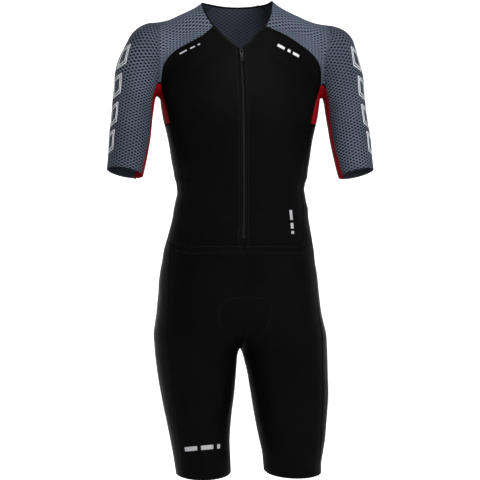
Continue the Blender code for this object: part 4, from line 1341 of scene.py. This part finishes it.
@dataclass
class Seams:
    """Flatlock seams: a low cover of thread along each seam, with a zigzag of stitches over it."""

    cloth: Cloth
    half_width: float = 0.0020
    rise: float = 0.00032
    side_rise: float = 0.0001  # of the cover's sides
    sunk: float = 0.0003  # how far the cover's underside lies below the cloth
    ridge: float = 0.72  # where a ridge is highest, as a share of the half width
    valley: Place = (0.3, 0.6)  # the low middle's half width and height, as shares of the cover's
    step: float = 0.004  # along the cover
    thread: float = 0.00017  # radius
    thread_rise: float = 0.4  # how far the thread's middle lies over the cover, as a share of its radius
    stitch: float = 0.0022  # along the seam, from one crossing to the next
    swing: float = 0.8  # how far the stitches reach across, as a share of the half width

    def build(self) -> None:
        """Lays every cover and every zigzag, joined by the colour of their thread."""
        covers, threads = {}, {}
        for seam in self.cloth.seams:
            finish = self._finish(seam.kinds())
            path = resampled(seam.path, self.step)
            stations = arc_length(seam.path)
            normals = unit(read_along(seam.normals, stations, np.linspace(0, stations[-1], len(path))))
            covers.setdefault(finish, Sweep(self._cover_section())).add(path, normals)
            zigzag = self._zigzag(path, normals)
            threads.setdefault(finish, Sweep(oval(self.thread, self.thread, 4))).add(*zigzag)
        for kind, sweeps in (("cover", covers), ("stitches", threads)):
            for finish, sweep in sweeps.items():
                sweep.piece(f"seam_{kind}_{finish.value.name}", finish, "black_knit")
        length = sum(arc_length(seam.path)[-1] for seam in self.cloth.seams)
        LOG.info("seams: %d, %.2f m in all", len(self.cloth.seams), length)

    @staticmethod
    def _finish(kinds: set[str]) -> Finish:
        """The thread that a seam between two kinds of panel is sewn with.

        Args:
            kinds: The names of the two kinds.

        Returns:
            The thread's finish.
        """
        if kinds <= {"yoke", "sleeve", "back"}:
            return Finish.GREY_THREAD
        return Finish.RED_THREAD if kinds >= {"gusset", "sleeve"} else Finish.BLACK_THREAD

    def _cover_section(self) -> np.ndarray:
        """A low double ridge, with its underside just below the cloth.

        Returns:
            The section's points.
        """
        wide, high = self.half_width, self.rise
        ridge, valley = (self.ridge * wide, high), (self.valley[0] * wide, self.valley[1] * high)
        return mirrored([(wide, -self.sunk), (wide, self.side_rise), ridge, valley])

    def _zigzag(self, path: np.ndarray, normals: np.ndarray) -> tuple[np.ndarray, np.ndarray]:
        """A line that crosses the seam from side to side.

        Args:
            path: The seam's line.
            normals: The cloth's normals along it.

        Returns:
            The zigzag's points and normals.
        """
        stations = arc_length(path)
        crossings = np.linspace(0, stations[-1], max(3, round(stations[-1] / self.stitch)))
        points = read_along(path, stations, crossings)
        upright = unit(read_along(normals, stations, crossings))
        swing = self.half_width * self.swing * (1 - 2 * (np.arange(len(points)) % 2))
        out = (self.rise + self.thread * self.thread_rise) * upright
        return points + swing[:, None] * sideways(points, upright) + out, upright


@dataclass
class Topstitch:
    """Rows of single stitches sunk in the cloth along guide lines."""

    surface: Surface
    length: float = 0.0026
    gap: float = 0.0010
    radius: float = 0.00022
    lift: float = 0.3  # how far the thread's middle lies over the cloth, as a share of its radius

    def rows(self, name: str, guides: list[np.ndarray]) -> None:
        """Sews along guide lines near the cloth, and makes all the stitches one piece.

        Args:
            name: The piece's name.
            guides: The lines' points.
        """
        thread = Sweep(oval(self.radius, self.radius, 5, self.radius * self.lift))
        for guide in guides:
            line = resampled(guide, self.length + self.gap)
            for start, end in zip(line, line[1:]):
                stop = start + (end - start) * self.length / (self.length + self.gap)
                stretch = start + (stop - start) * np.linspace(0, 1, len(Sweep.STITCH))[:, None]
                thread.add(*self.surface.nearest(stretch), Sweep.STITCH)
        thread.piece(name, Finish.SOFT_THREAD, "black_knit")


# ---- Neck and zip ----


@dataclass
class NeckBinding:
    """The folded tape over the raw neck edge, from one side of the zip to the other, with its stitching."""

    cloth: Cloth
    half_width: float = 0.0021
    half_height: float = 0.00125
    inside: float = 0.55  # how far the tape's middle lies inside the edge, as a share of its half width
    seat: Place = (0.45, 0.92)  # the stitches' place on the tape, as shares of its half width and height
    stitch: float = 0.0032  # from one stitch to the next
    thread: float = 0.0002  # radius
    stitched: float = 0.74  # a stitch's length, as a share of the way to the next
    top: float = -0.125  # free edges that reach above this height belong to the neck
    end: float = -0.1095  # the tape ends at the zip, at this height
    front: float = -0.03  # the tape starts on an edge whose middle lies in front of this depth
    step: float = 0.0012  # the least distance between two points of the tape's line

    def build(self) -> None:
        """Lays the tape along the neck edge and sews it."""
        path, normals = self._edge()
        inward = unit(sideways(path, normals))
        if inward[:, 2].mean() > 0:
            inward = -inward
        middle = path + inward * self.half_width * self.inside - normals * CLOTH_THICKNESS * 0.5
        tape = Sweep(oval(self.half_width, self.half_height, 14))
        tape.add(middle, normals)
        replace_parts(tape.piece("neck_tape", Finish.BINDING, "binding"), "neck_binding")
        row = Sweep(oval(self.thread, self.thread, 5))
        aside, out = self.seat
        sewn = middle + inward * self.half_width * aside + normals * self.half_height * out
        sewn = resampled(sewn, self.stitch)
        shares = np.linspace(0, 1, len(normals)), np.linspace(0, 1, len(sewn))
        count = len(Sweep.STITCH)
        for start, end, normal in zip(sewn, sewn[1:], unit(read_along(normals, *shares))):
            stretch = start + (end - start) * np.linspace(0, self.stitched, count)[:, None]
            row.add(stretch, np.tile(normal, (count, 1)), Sweep.STITCH)
        row.piece("neck_stitches", Finish.SOFT_THREAD, "binding")

    def _edge(self) -> tuple[np.ndarray, np.ndarray]:
        """The neck's free edges joined into one line, from the right of the zip to its left.

        Returns:
            The line's points and the cloth's normals there.
        """
        runs = []
        for points, normals in self.cloth.edges:
            inside = points[:, 2] > self.end
            if points[:, 2].max() > self.top and inside.sum() > 2:
                runs.append((points[inside], normals[inside]))
        starts = [(run[0][:, 1].mean() > self.front, run[0][:, 0].mean()) for run in runs]
        points, normals = runs.pop(starts.index(min(starts)))
        if abs(points[0, 0]) > abs(points[-1, 0]):
            points, normals = points[::-1], normals[::-1]
        while runs:
            _, number, end = min(
                (np.linalg.norm(run[0][end] - points[-1]), number, end)
                for number, run in enumerate(runs) for end in (0, -1)
            )
            more, more_normals = (array if end == 0 else array[::-1] for array in runs.pop(number))
            points, normals = np.concatenate([points, more]), np.concatenate([normals, more_normals])
        keep = np.concatenate([[True], np.linalg.norm(np.diff(points, axis=0), axis=1) > self.step])
        points, normals = points[keep], normals[keep]
        for _ in range(2):
            points[1:-1] = (points[:-2] + 2 * points[1:-1] + points[2:]) / 4
            normals[1:-1] = unit(normals[:-2] + 2 * normals[1:-1] + normals[2:])
        return points, normals


@dataclass
class Zip:
    """The centre-front zip: its tape, two rows of coil, and the stitching beside it."""

    surface: Surface
    ring_gap: float = 0.003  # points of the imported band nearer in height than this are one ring
    steps: Place = (0.006, 0.008)  # between the points of the tape's line and of the stitching's
    pitch: float = 0.0013
    tooth: tuple[float, float, float] = (0.0024, 0.0010, 0.0008)  # across, out, along
    tooth_place: Place = (0.36, -0.0001)  # from the middle, as a share of a tooth's width, and out
    tilt: float = 0.22  # how steeply a tooth rises away from the middle
    tape: tuple[float, float, float] = (0.0034, 0.0007, -0.0014)  # half width, half thickness, lift
    rows: Place = (0.0042, 0.0092)  # from the zip's middle to each row of stitching beside it
    box: Place = (0.0100, 0.0360)  # the stitched end: half width, height
    box_top: float = 0.018  # its upper edge over the zip's lower end

    def build(self) -> None:
        """Makes the zip's pieces from top to bottom."""
        line = self._line()
        path = resampled(line, self.steps[0])
        tape = Sweep(oval(*self.tape[:2], 12, self.tape[2]))
        tape.add(path, np.tile([0.0, -1.0, 0.0], (len(path), 1)))
        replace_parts(tape.piece("zip_tape", Finish.TAPE, "zip"), "zip_band")
        self._coil(line)
        self._stitching(resampled(line, self.steps[1]))

    def _line(self) -> np.ndarray:
        """The zip's front middle line from top to bottom.

        Returns:
            The line's points.
        """
        points = node_points("zip_band")
        heights = points[:, 2]
        levels = np.unique(heights.round(4))
        line = []
        for ring in np.split(levels, np.flatnonzero(np.diff(levels) > self.ring_gap) + 1):
            inside = points[(heights > ring[0] - 1e-4) & (heights < ring[-1] + 1e-4)]
            line.append([inside[:, 0].mean(), inside[:, 1].min(), inside[:, 2].mean()])
        return np.array(line[::-1])

    def _coil(self, line: np.ndarray) -> None:
        """One tooth is modelled, and copied down both sides of the zip.

        Args:
            line: The zip's middle line.
        """
        deselect_all()
        bpy.ops.mesh.primitive_cube_add(size=1.0)
        tooth = bpy.context.object
        bpy.ops.object.mode_set(mode="EDIT")
        bpy.ops.transform.resize(value=self.tooth)
        bpy.ops.mesh.bevel(offset=min(self.tooth) * 0.3, segments=1)
        bpy.ops.object.mode_set(mode="OBJECT")
        shape = np.array([vertex.co for vertex in tooth.data.vertices])
        outline = [tuple(face.vertices) for face in tooth.data.polygons]
        bpy.data.objects.remove(tooth)
        vertices, faces = [], []
        aside, out = self.tooth_place
        for number, point in enumerate(resampled(line, self.pitch / 2)[1:-1]):
            side = 1 - 2 * (number % 2)
            tilted = shape.copy()
            tilted[:, 2] += side * tilted[:, 0] * self.tilt
            faces += [[len(vertices) + corner for corner in face] for face in outline]
            vertices += (tilted + (point + np.array([side * self.tooth[0] * aside, out, 0.0]))).tolist()
        mesh_piece("zip_coil", vertices, faces, Finish.TEETH)

    def _stitching(self, line: np.ndarray) -> None:
        """Rows beside the zip, and the box that closes its lower end.

        Args:
            line: The zip's middle line.
        """
        guides = [
            line + np.array([side * distance, 0.0, 0.0]) for distance in self.rows for side in SIDES.values()
        ]
        half, high = self.box
        corners = [(-half, 0.0), (half, 0.0), (half, -high), (-half, -high), (-half, 0.0)]
        lower = [line[-1] + np.array([x, 0.0, z + self.box_top]) for x, z in corners]
        guides += [np.array(pair) for pair in zip(lower, lower[1:])]
        Topstitch(self.surface).rows("zip_topstitching", guides)


@dataclass
class ZipPull:
    """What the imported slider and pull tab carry: a raised shield, grip ribs on the tab, and end stops."""

    bottom_stop: tuple[float, float, float] = (0.0062, 0.0016, 0.0026)
    top_stop: tuple[float, float, float] = (0.0016, 0.0013, 0.0030)
    from_end: float = 0.0016  # from each end of the zip to the middle of its stops
    apart: float = 0.0015  # from the zip's middle to a top stop's
    end_reach: float = 0.001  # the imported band's points this near to an end show where it is
    ribs: int = 5
    rib: Place = (0.0005, 0.0009)  # a rib's depth and height
    rib_places: Place = (0.12, 0.085)  # the first rib's height on the tab and the way to the next, as shares
    rib_share: float = 0.66  # a rib's width over the tab's
    shield_depth: float = 0.0006
    shield_share: Place = (0.62, 0.22)  # its width and height over the slider's
    shield_place: Place = (0.0032, 0.62)  # behind the slider's front, and up it as a share of its own height

    CUTS = 2  # across each side of a block
    FORWARD, NEAR, CROWN = 0.9, 0.2, 0.25  # which face is its front's middle, and how far that stands out

    def build(self) -> None:
        """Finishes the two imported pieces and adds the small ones."""
        for node in ("zip_slider", "pull_tab"):
            self._dress(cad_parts[node])
        self._shield()
        self._ribs()
        self._stops()

    @staticmethod
    def _dress(obj: bpy.types.Object) -> None:
        """Gives a hard piece its material."""
        obj.data.materials.clear()
        obj.data.materials.append(Finish.METAL.material)

    def _block(self, name: str, body: str, centre: Vector, size: Vector, bevel: float) -> None:
        """A block with rounded edges and a crowned front.

        Args:
            name: The piece's name.
            body: The body that it moves with.
            centre: Its middle.
            size: Its sides.
            bevel: How far its edges are rounded.
        """
        deselect_all()
        bpy.ops.mesh.primitive_cube_add(size=1.0, location=centre)
        obj = bpy.context.object
        obj.name = obj.data.name = name
        bpy.ops.object.mode_set(mode="EDIT")
        bpy.ops.transform.resize(value=size, center_override=centre)
        bpy.ops.mesh.subdivide(number_cuts=self.CUTS)
        bpy.ops.mesh.select_all(action="DESELECT")
        shape = bmesh.from_edit_mesh(obj.data)
        for face in shape.faces:
            near = face.calc_center_median().xz.length < min(size.x, size.z) * self.NEAR
            face.select = near and face.normal.y < -self.FORWARD
        shape.select_flush_mode()
        bmesh.update_edit_mesh(obj.data)
        bpy.ops.transform.translate(value=(0.0, -size.y * self.CROWN, 0.0))
        bpy.ops.object.mode_set(mode="OBJECT")
        rounding = obj.modifiers.new("rounding", "BEVEL")
        rounding.width = bevel
        rounding.segments = 2
        apply_modifiers(obj)
        bpy.ops.object.transform_apply(location=True, rotation=True, scale=True)
        bpy.ops.object.shade_smooth_by_angle(angle=math.radians(35))
        self._dress(obj)
        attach(obj, body)

    def _shield(self) -> None:
        """A low shield on the slider's face, below the bail."""
        low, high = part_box("zip_slider")
        wide, tall = self.shield_share
        size = Vector(((high.x - low.x) * wide, self.shield_depth, (high.z - low.z) * tall))
        back, up = self.shield_place
        centre = Vector(((low.x + high.x) / 2, low.y + back, low.z + size.z * up))
        self._block("slider_shield", SUIT, centre, size, 0.00018)

    def _ribs(self) -> None:
        """Grip ribs across the lower half of the pull tab."""
        low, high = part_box("pull_tab")
        size = Vector(((high.x - low.x) * self.rib_share, *self.rib))
        first, following = self.rib_places
        for number in range(self.ribs):
            height = low.z + (high.z - low.z) * (first + following * number)
            centre = Vector(((low.x + high.x) / 2, low.y + 0.0001, height))
            self._block(f"tab_rib_{number + 1}", TAB, centre, size, 0.00015)

    def _stops(self) -> None:
        """The stop at the zip's lower end and the two at its top."""
        low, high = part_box("zip_band")
        points = node_points("zip_band")
        lowest = points[points[:, 2] < low.z + self.end_reach]
        centre = Vector((lowest[:, 0].mean(), lowest[:, 1].min(), low.z + self.from_end))
        self._block("zip_stop_bottom", SUIT, centre, Vector(self.bottom_stop), 0.0003)
        highest = points[points[:, 2] > high.z - self.end_reach]
        for side, sign in SIDES.items():
            x = highest[:, 0].mean() + sign * self.apart
            centre = Vector((x, highest[:, 1].min(), high.z - self.from_end))
            self._block(f"zip_stop_{side}", SUIT, centre, Vector(self.top_stop), 0.0002)


# ---- Marks and other stitching ----


@dataclass
class View:
    """The camera's place, and the way from it through a point of the plane that the suit hangs in."""

    distance: float = 3.0
    height: float = -0.5
    degrees: float = -6.0  # round the suit, from its front towards the wearer's right
    sensor: float = 36.0
    focal_length: float = 107.1

    def __post_init__(self) -> None:
        """Works out where the camera stands, and its own direction to the right."""
        turn = math.radians(self.degrees)
        self.place = np.array([math.sin(turn) * self.distance, -math.cos(turn) * self.distance, self.height])
        self.right = np.array([math.cos(turn), math.sin(turn), 0.0])

    def onto(self, surface: Surface, places: np.ndarray | tuple[Place, ...]) -> np.ndarray:
        """Throws places of the camera's view onto the cloth.

        Args:
            surface: The suit's outer surface.
            places: Distance to the right of the suit's middle and height, both in the suit's plane.

        Returns:
            The points of the cloth that are seen there.
        """
        places = np.asarray(places, float)
        targets = places[:, :1] * self.right + places[:, 1:] * np.array([0.0, 0.0, 1.0])
        return surface.cast(self.place, unit(targets - self.place))

    def build(self) -> None:
        """Adds the camera."""
        data = bpy.data.cameras.new("camera")
        data.sensor_width = self.sensor
        data.lens = self.focal_length
        obj = link("camera", data)
        obj.location = self.place
        obj.rotation_euler = (math.pi / 2, 0.0, math.radians(self.degrees))
        bpy.context.scene.camera = obj


@dataclass(frozen=True)
class Bars:
    """A row of plain filled bars on the cloth, each from its first end to its second as seen in front."""

    width: float
    finish: Finish
    ends: tuple[tuple[Place, Place], ...]


@dataclass
class Marks:
    """Plain printed marks: bars on the chest, hip and thigh, and a column of outlines on each sleeve."""

    surface: Surface
    view: View
    lift: float = 0.00022
    sunk: float = 0.0002  # how far a print's underside lies below the cloth
    step: float = 0.003  # along an outline
    line: float = 0.0009  # half the width of a sleeve outline
    sleeve_radius: float = 0.052
    length: float = 0.040  # of an outline
    half_width: float = 0.0150
    slant: float = 0.0100  # how far an outline's inner edge lies above its outer edge
    insets: Place = (0.0, 0.0042)  # of an outline, and of the one inside it
    end_inset: float = 1.2  # the same at its two ends, as a share of that at its sides
    edge: Place = (0.8, 0.6)  # a print's flat top and its edge's height, as shares of its width and height
    bar_points: int = 9
    tops: tuple[float, ...] = (-0.096, -0.157, -0.216, -0.273)  # the outlines' heights
    degrees: tuple[tuple[float, ...], ...] = (  # the angles of their middles round the left arm and the right
        (36.0, 46.0, 50.0, 56.0), (44.0, 54.0, 58.0, 62.0),
    )

    bars: tuple[Bars, ...] = (
        Bars(0.0032, Finish.GREY_PRINT, (
            ((-0.127, -0.109), (-0.112, -0.101)), ((-0.105, -0.098), (-0.095, -0.093)),
            ((-0.089, -0.090), (-0.084, -0.088)),
        )),
        Bars(0.0062, Finish.WHITE_PRINT, (
            ((0.079, -0.090), (0.094, -0.098)), ((0.100, -0.101), (0.106, -0.104)),
            ((0.111, -0.107), (0.124, -0.114)),
        )),
        Bars(0.0070, Finish.GREY_PRINT, (
            ((0.1065, -0.437), (0.1085, -0.458)), ((0.1090, -0.464), (0.1100, -0.476)),
            ((0.1106, -0.481), (0.1110, -0.487)),
        )),
        Bars(0.0090, Finish.GREY_PRINT, (
            ((-0.1160, -0.9400), (-0.0900, -0.9375)), ((-0.0820, -0.9368), (-0.0560, -0.9345)),
            ((-0.0480, -0.9338), (-0.0420, -0.9333)),
        )),
    )

    def build(self) -> None:
        """Prints the bars and the sleeves' outlines."""
        films = {finish: Sweep(self._film(self.line)) for finish in (Finish.WHITE_PRINT, Finish.GREY_PRINT)}
        for bars in self.bars:
            for start, end in bars.ends:
                path = self.view.onto(self.surface, np.linspace(start, end, self.bar_points))
                section = self._film(bars.width / 2)
                films[bars.finish].add(*self.surface.nearest(path), section=section)
        for (finish, film), name in zip(films.items(), ("marks_front", "marks_grey")):
            film.piece(name, finish, "sheen_knit")
        pale = Sweep(self._film(self.line))
        for part, sign, angles in zip((Part.LEFT_ARM, Part.RIGHT_ARM), SIDES.values(), self.degrees):
            for top, degrees in zip(self.tops, angles):
                self._outline(pale, part, sign, top, degrees)
        pale.piece("marks_sleeves", Finish.PALE_PRINT, "grey_mesh")

    def _film(self, half_width: float) -> np.ndarray:
        """The section of a printed film.

        Args:
            half_width: Half its width.

        Returns:
            The section's points.
        """
        flat, side = self.edge
        corners = (half_width, self.lift * side), (half_width * flat, self.lift)
        return mirrored([(half_width, -self.sunk), *corners])

    def _outline(self, film: Sweep, part: Part, sign: int, top: float, degrees: float) -> None:
        """One long slanted outline with another inside it, wrapped on the sleeve's outer side.

        Args:
            film: What it is printed with.
            part: The arm.
            sign: The arm's side.
            top: The height of its inner edge's upper end.
            degrees: The angle of its middle round the arm, from the front.
        """
        high, slant = self.length, self.slant
        for inset in self.insets:
            side, end = self.half_width - inset, inset * self.end_inset
            corners = [(-side, -end), (side, -end - slant), (side, end - high - slant), (-side, end - high)]
            for start, stop in zip(corners, corners[1:] + corners[:1]):
                path = []
                count = max(2, round(math.dist(start, stop) / self.step)) + 1
                for across, down in np.linspace(start, stop, count):
                    turn = sign * (degrees + math.degrees(across / self.sleeve_radius))
                    path.append(self.surface.round_part(part, turn, top + down))
                path = np.array([point for point in path if point is not None])
                if len(path) > 1:
                    film.add(*self.surface.nearest(path))


@dataclass
class PadOutline:
    """The stitching round the seat pad in the crotch, and the two rows along the waist."""

    surface: Surface
    cloth: Cloth
    view: View
    waist_row: float = 0.0066  # each row's distance from the waist seam
    front: tuple[Place, ...] = (
        (-0.0380, -0.6850), (-0.0450, -0.6680), (-0.0460, -0.6500), (-0.0380, -0.6340), (-0.0180, -0.6225),
        (0.0100, -0.6205), (0.0380, -0.6205), (0.0560, -0.6240), (0.0640, -0.6370), (0.0655, -0.6520),
        (0.0620, -0.6700), (0.0540, -0.6880),
    )

    def build(self) -> None:
        """Sews the pad's outline and the waist rows."""
        sewing = Topstitch(self.surface)
        sewing.rows("pad_topstitching", [self.view.onto(self.surface, self.front)])
        guides = []
        for seam in self.cloth.seams:
            waist = {name.split("_")[0] for name in seam.names}
            if "leg" in waist and len(waist) > 1:
                across = unit(sideways(seam.path, seam.normals))
                guides += [seam.path - sign * self.waist_row * across for sign in SIDES.values()]
        sewing.rows("waist_topstitching", guides)


# ---- Stage ----


@dataclass
class Stage:
    """A round pale floor that curves up at its edge, soft lights and a white surrounding."""

    floor: float = -1.30
    radius: float = 9.0
    bend: float = 2.0
    height: float = 2.6
    sectors: int = 96
    bend_steps: int = 12
    glow: float = 0.62  # how strongly the floor gives light
    surrounding: float = 0.25  # the white surrounding's strength
    aim: tuple[float, float, float] = (0.0, 0.0, -0.45)  # the suit's middle, which every light faces

    def build(self) -> None:
        """Adds the backdrop and the lights."""
        self._backdrop()
        self._light("key", (0.15, -1.35, 0.80), 0.9, 46.0)
        self._light("front", (1.7, -3.0, 0.6), 1.0, 54.0)
        self._light("back", (-0.5, 2.6, 0.7), 1.2, 42.0)
        world = bpy.data.worlds.new("surrounding")
        world.use_nodes = True
        sky = world.node_tree.nodes["Background"]
        sky.inputs["Color"].default_value = (1.0, 1.0, 1.0, 1.0)
        sky.inputs["Strength"].default_value = self.surrounding
        bpy.context.scene.world = world
        bpy.context.scene.view_settings.view_transform = "Standard"
        bpy.context.scene.view_settings.look = "None"

    def _backdrop(self) -> None:
        """A round floor whose edge is turned up in a curve."""
        bend = np.linspace(0, math.pi / 2, self.bend_steps + 1)
        radii = np.append(self.radius - self.bend * (1 - np.sin(bend)), self.radius)
        heights = np.append(self.floor + self.bend * (1 - np.cos(bend)), self.height)
        turns = np.arange(self.sectors) * math.tau / self.sectors
        vertices = [
            (radius * math.cos(turn), radius * math.sin(turn), height)
            for radius, height in zip(radii, heights) for turn in turns
        ]
        here = np.arange(self.sectors)
        following = np.roll(here, -1)
        band = np.stack([here, here + self.sectors, following + self.sectors, following], axis=1)
        faces = [here.tolist()]
        for ring in range(len(radii) - 1):
            faces += (band + ring * self.sectors).tolist()
        mesh = new_mesh("floor", vertices, faces)
        shader = Shader("floor")
        colour = shader.blend(shader.grain(3.0), (0.90, 0.90, 0.90), (0.93, 0.93, 0.93))
        glow = {"Emission Color": (1.0, 1.0, 1.0, 1.0), "Emission Strength": self.glow}
        mesh.materials.append(shader.finish(colour, 0.9, 0.1, glow))
        link("floor", mesh)

    def _light(self, name: str, place: tuple[float, float, float], size: float, power: float) -> None:
        """A square soft light that faces the suit's middle.

        Args:
            name: The light's name.
            place: Where it stands.
            size: Its side.
            power: Its power in watts.
        """
        data = bpy.data.lights.new(name, "AREA")
        data.size = size
        data.energy = power
        obj = link(name, data)
        obj.location = place
        obj.rotation_euler = (Vector(self.aim) - Vector(place)).to_track_quat("-Z", "Y").to_euler()
        obj.visible_camera = False


def clear_start() -> None:
    """Removes what a new Blender file holds, and leaves nothing selected."""
    for name in ("Cube", "Light", "Camera"):
        if name in bpy.data.objects:
            bpy.data.objects.remove(bpy.data.objects[name])
    deselect_all()


def main() -> None:
    """Builds the camera, the suit's pieces in order and the stage."""
    logging.basicConfig(level=logging.INFO, format="%(name)s: %(message)s")
    clear_start()
    view, cloth = View(), Cloth()
    view.build()
    cloth.build()
    cloth.dress()
    surface = Surface(cloth.panels)
    for piece in (
        Seams(cloth), NeckBinding(cloth), Zip(surface), ZipPull(), Marks(surface, view),
        PadOutline(surface, cloth, view), Stage(),
    ):
        piece.build()
        LOG.info("%s done", type(piece).__name__)


if __name__ == "__main__":
    main()
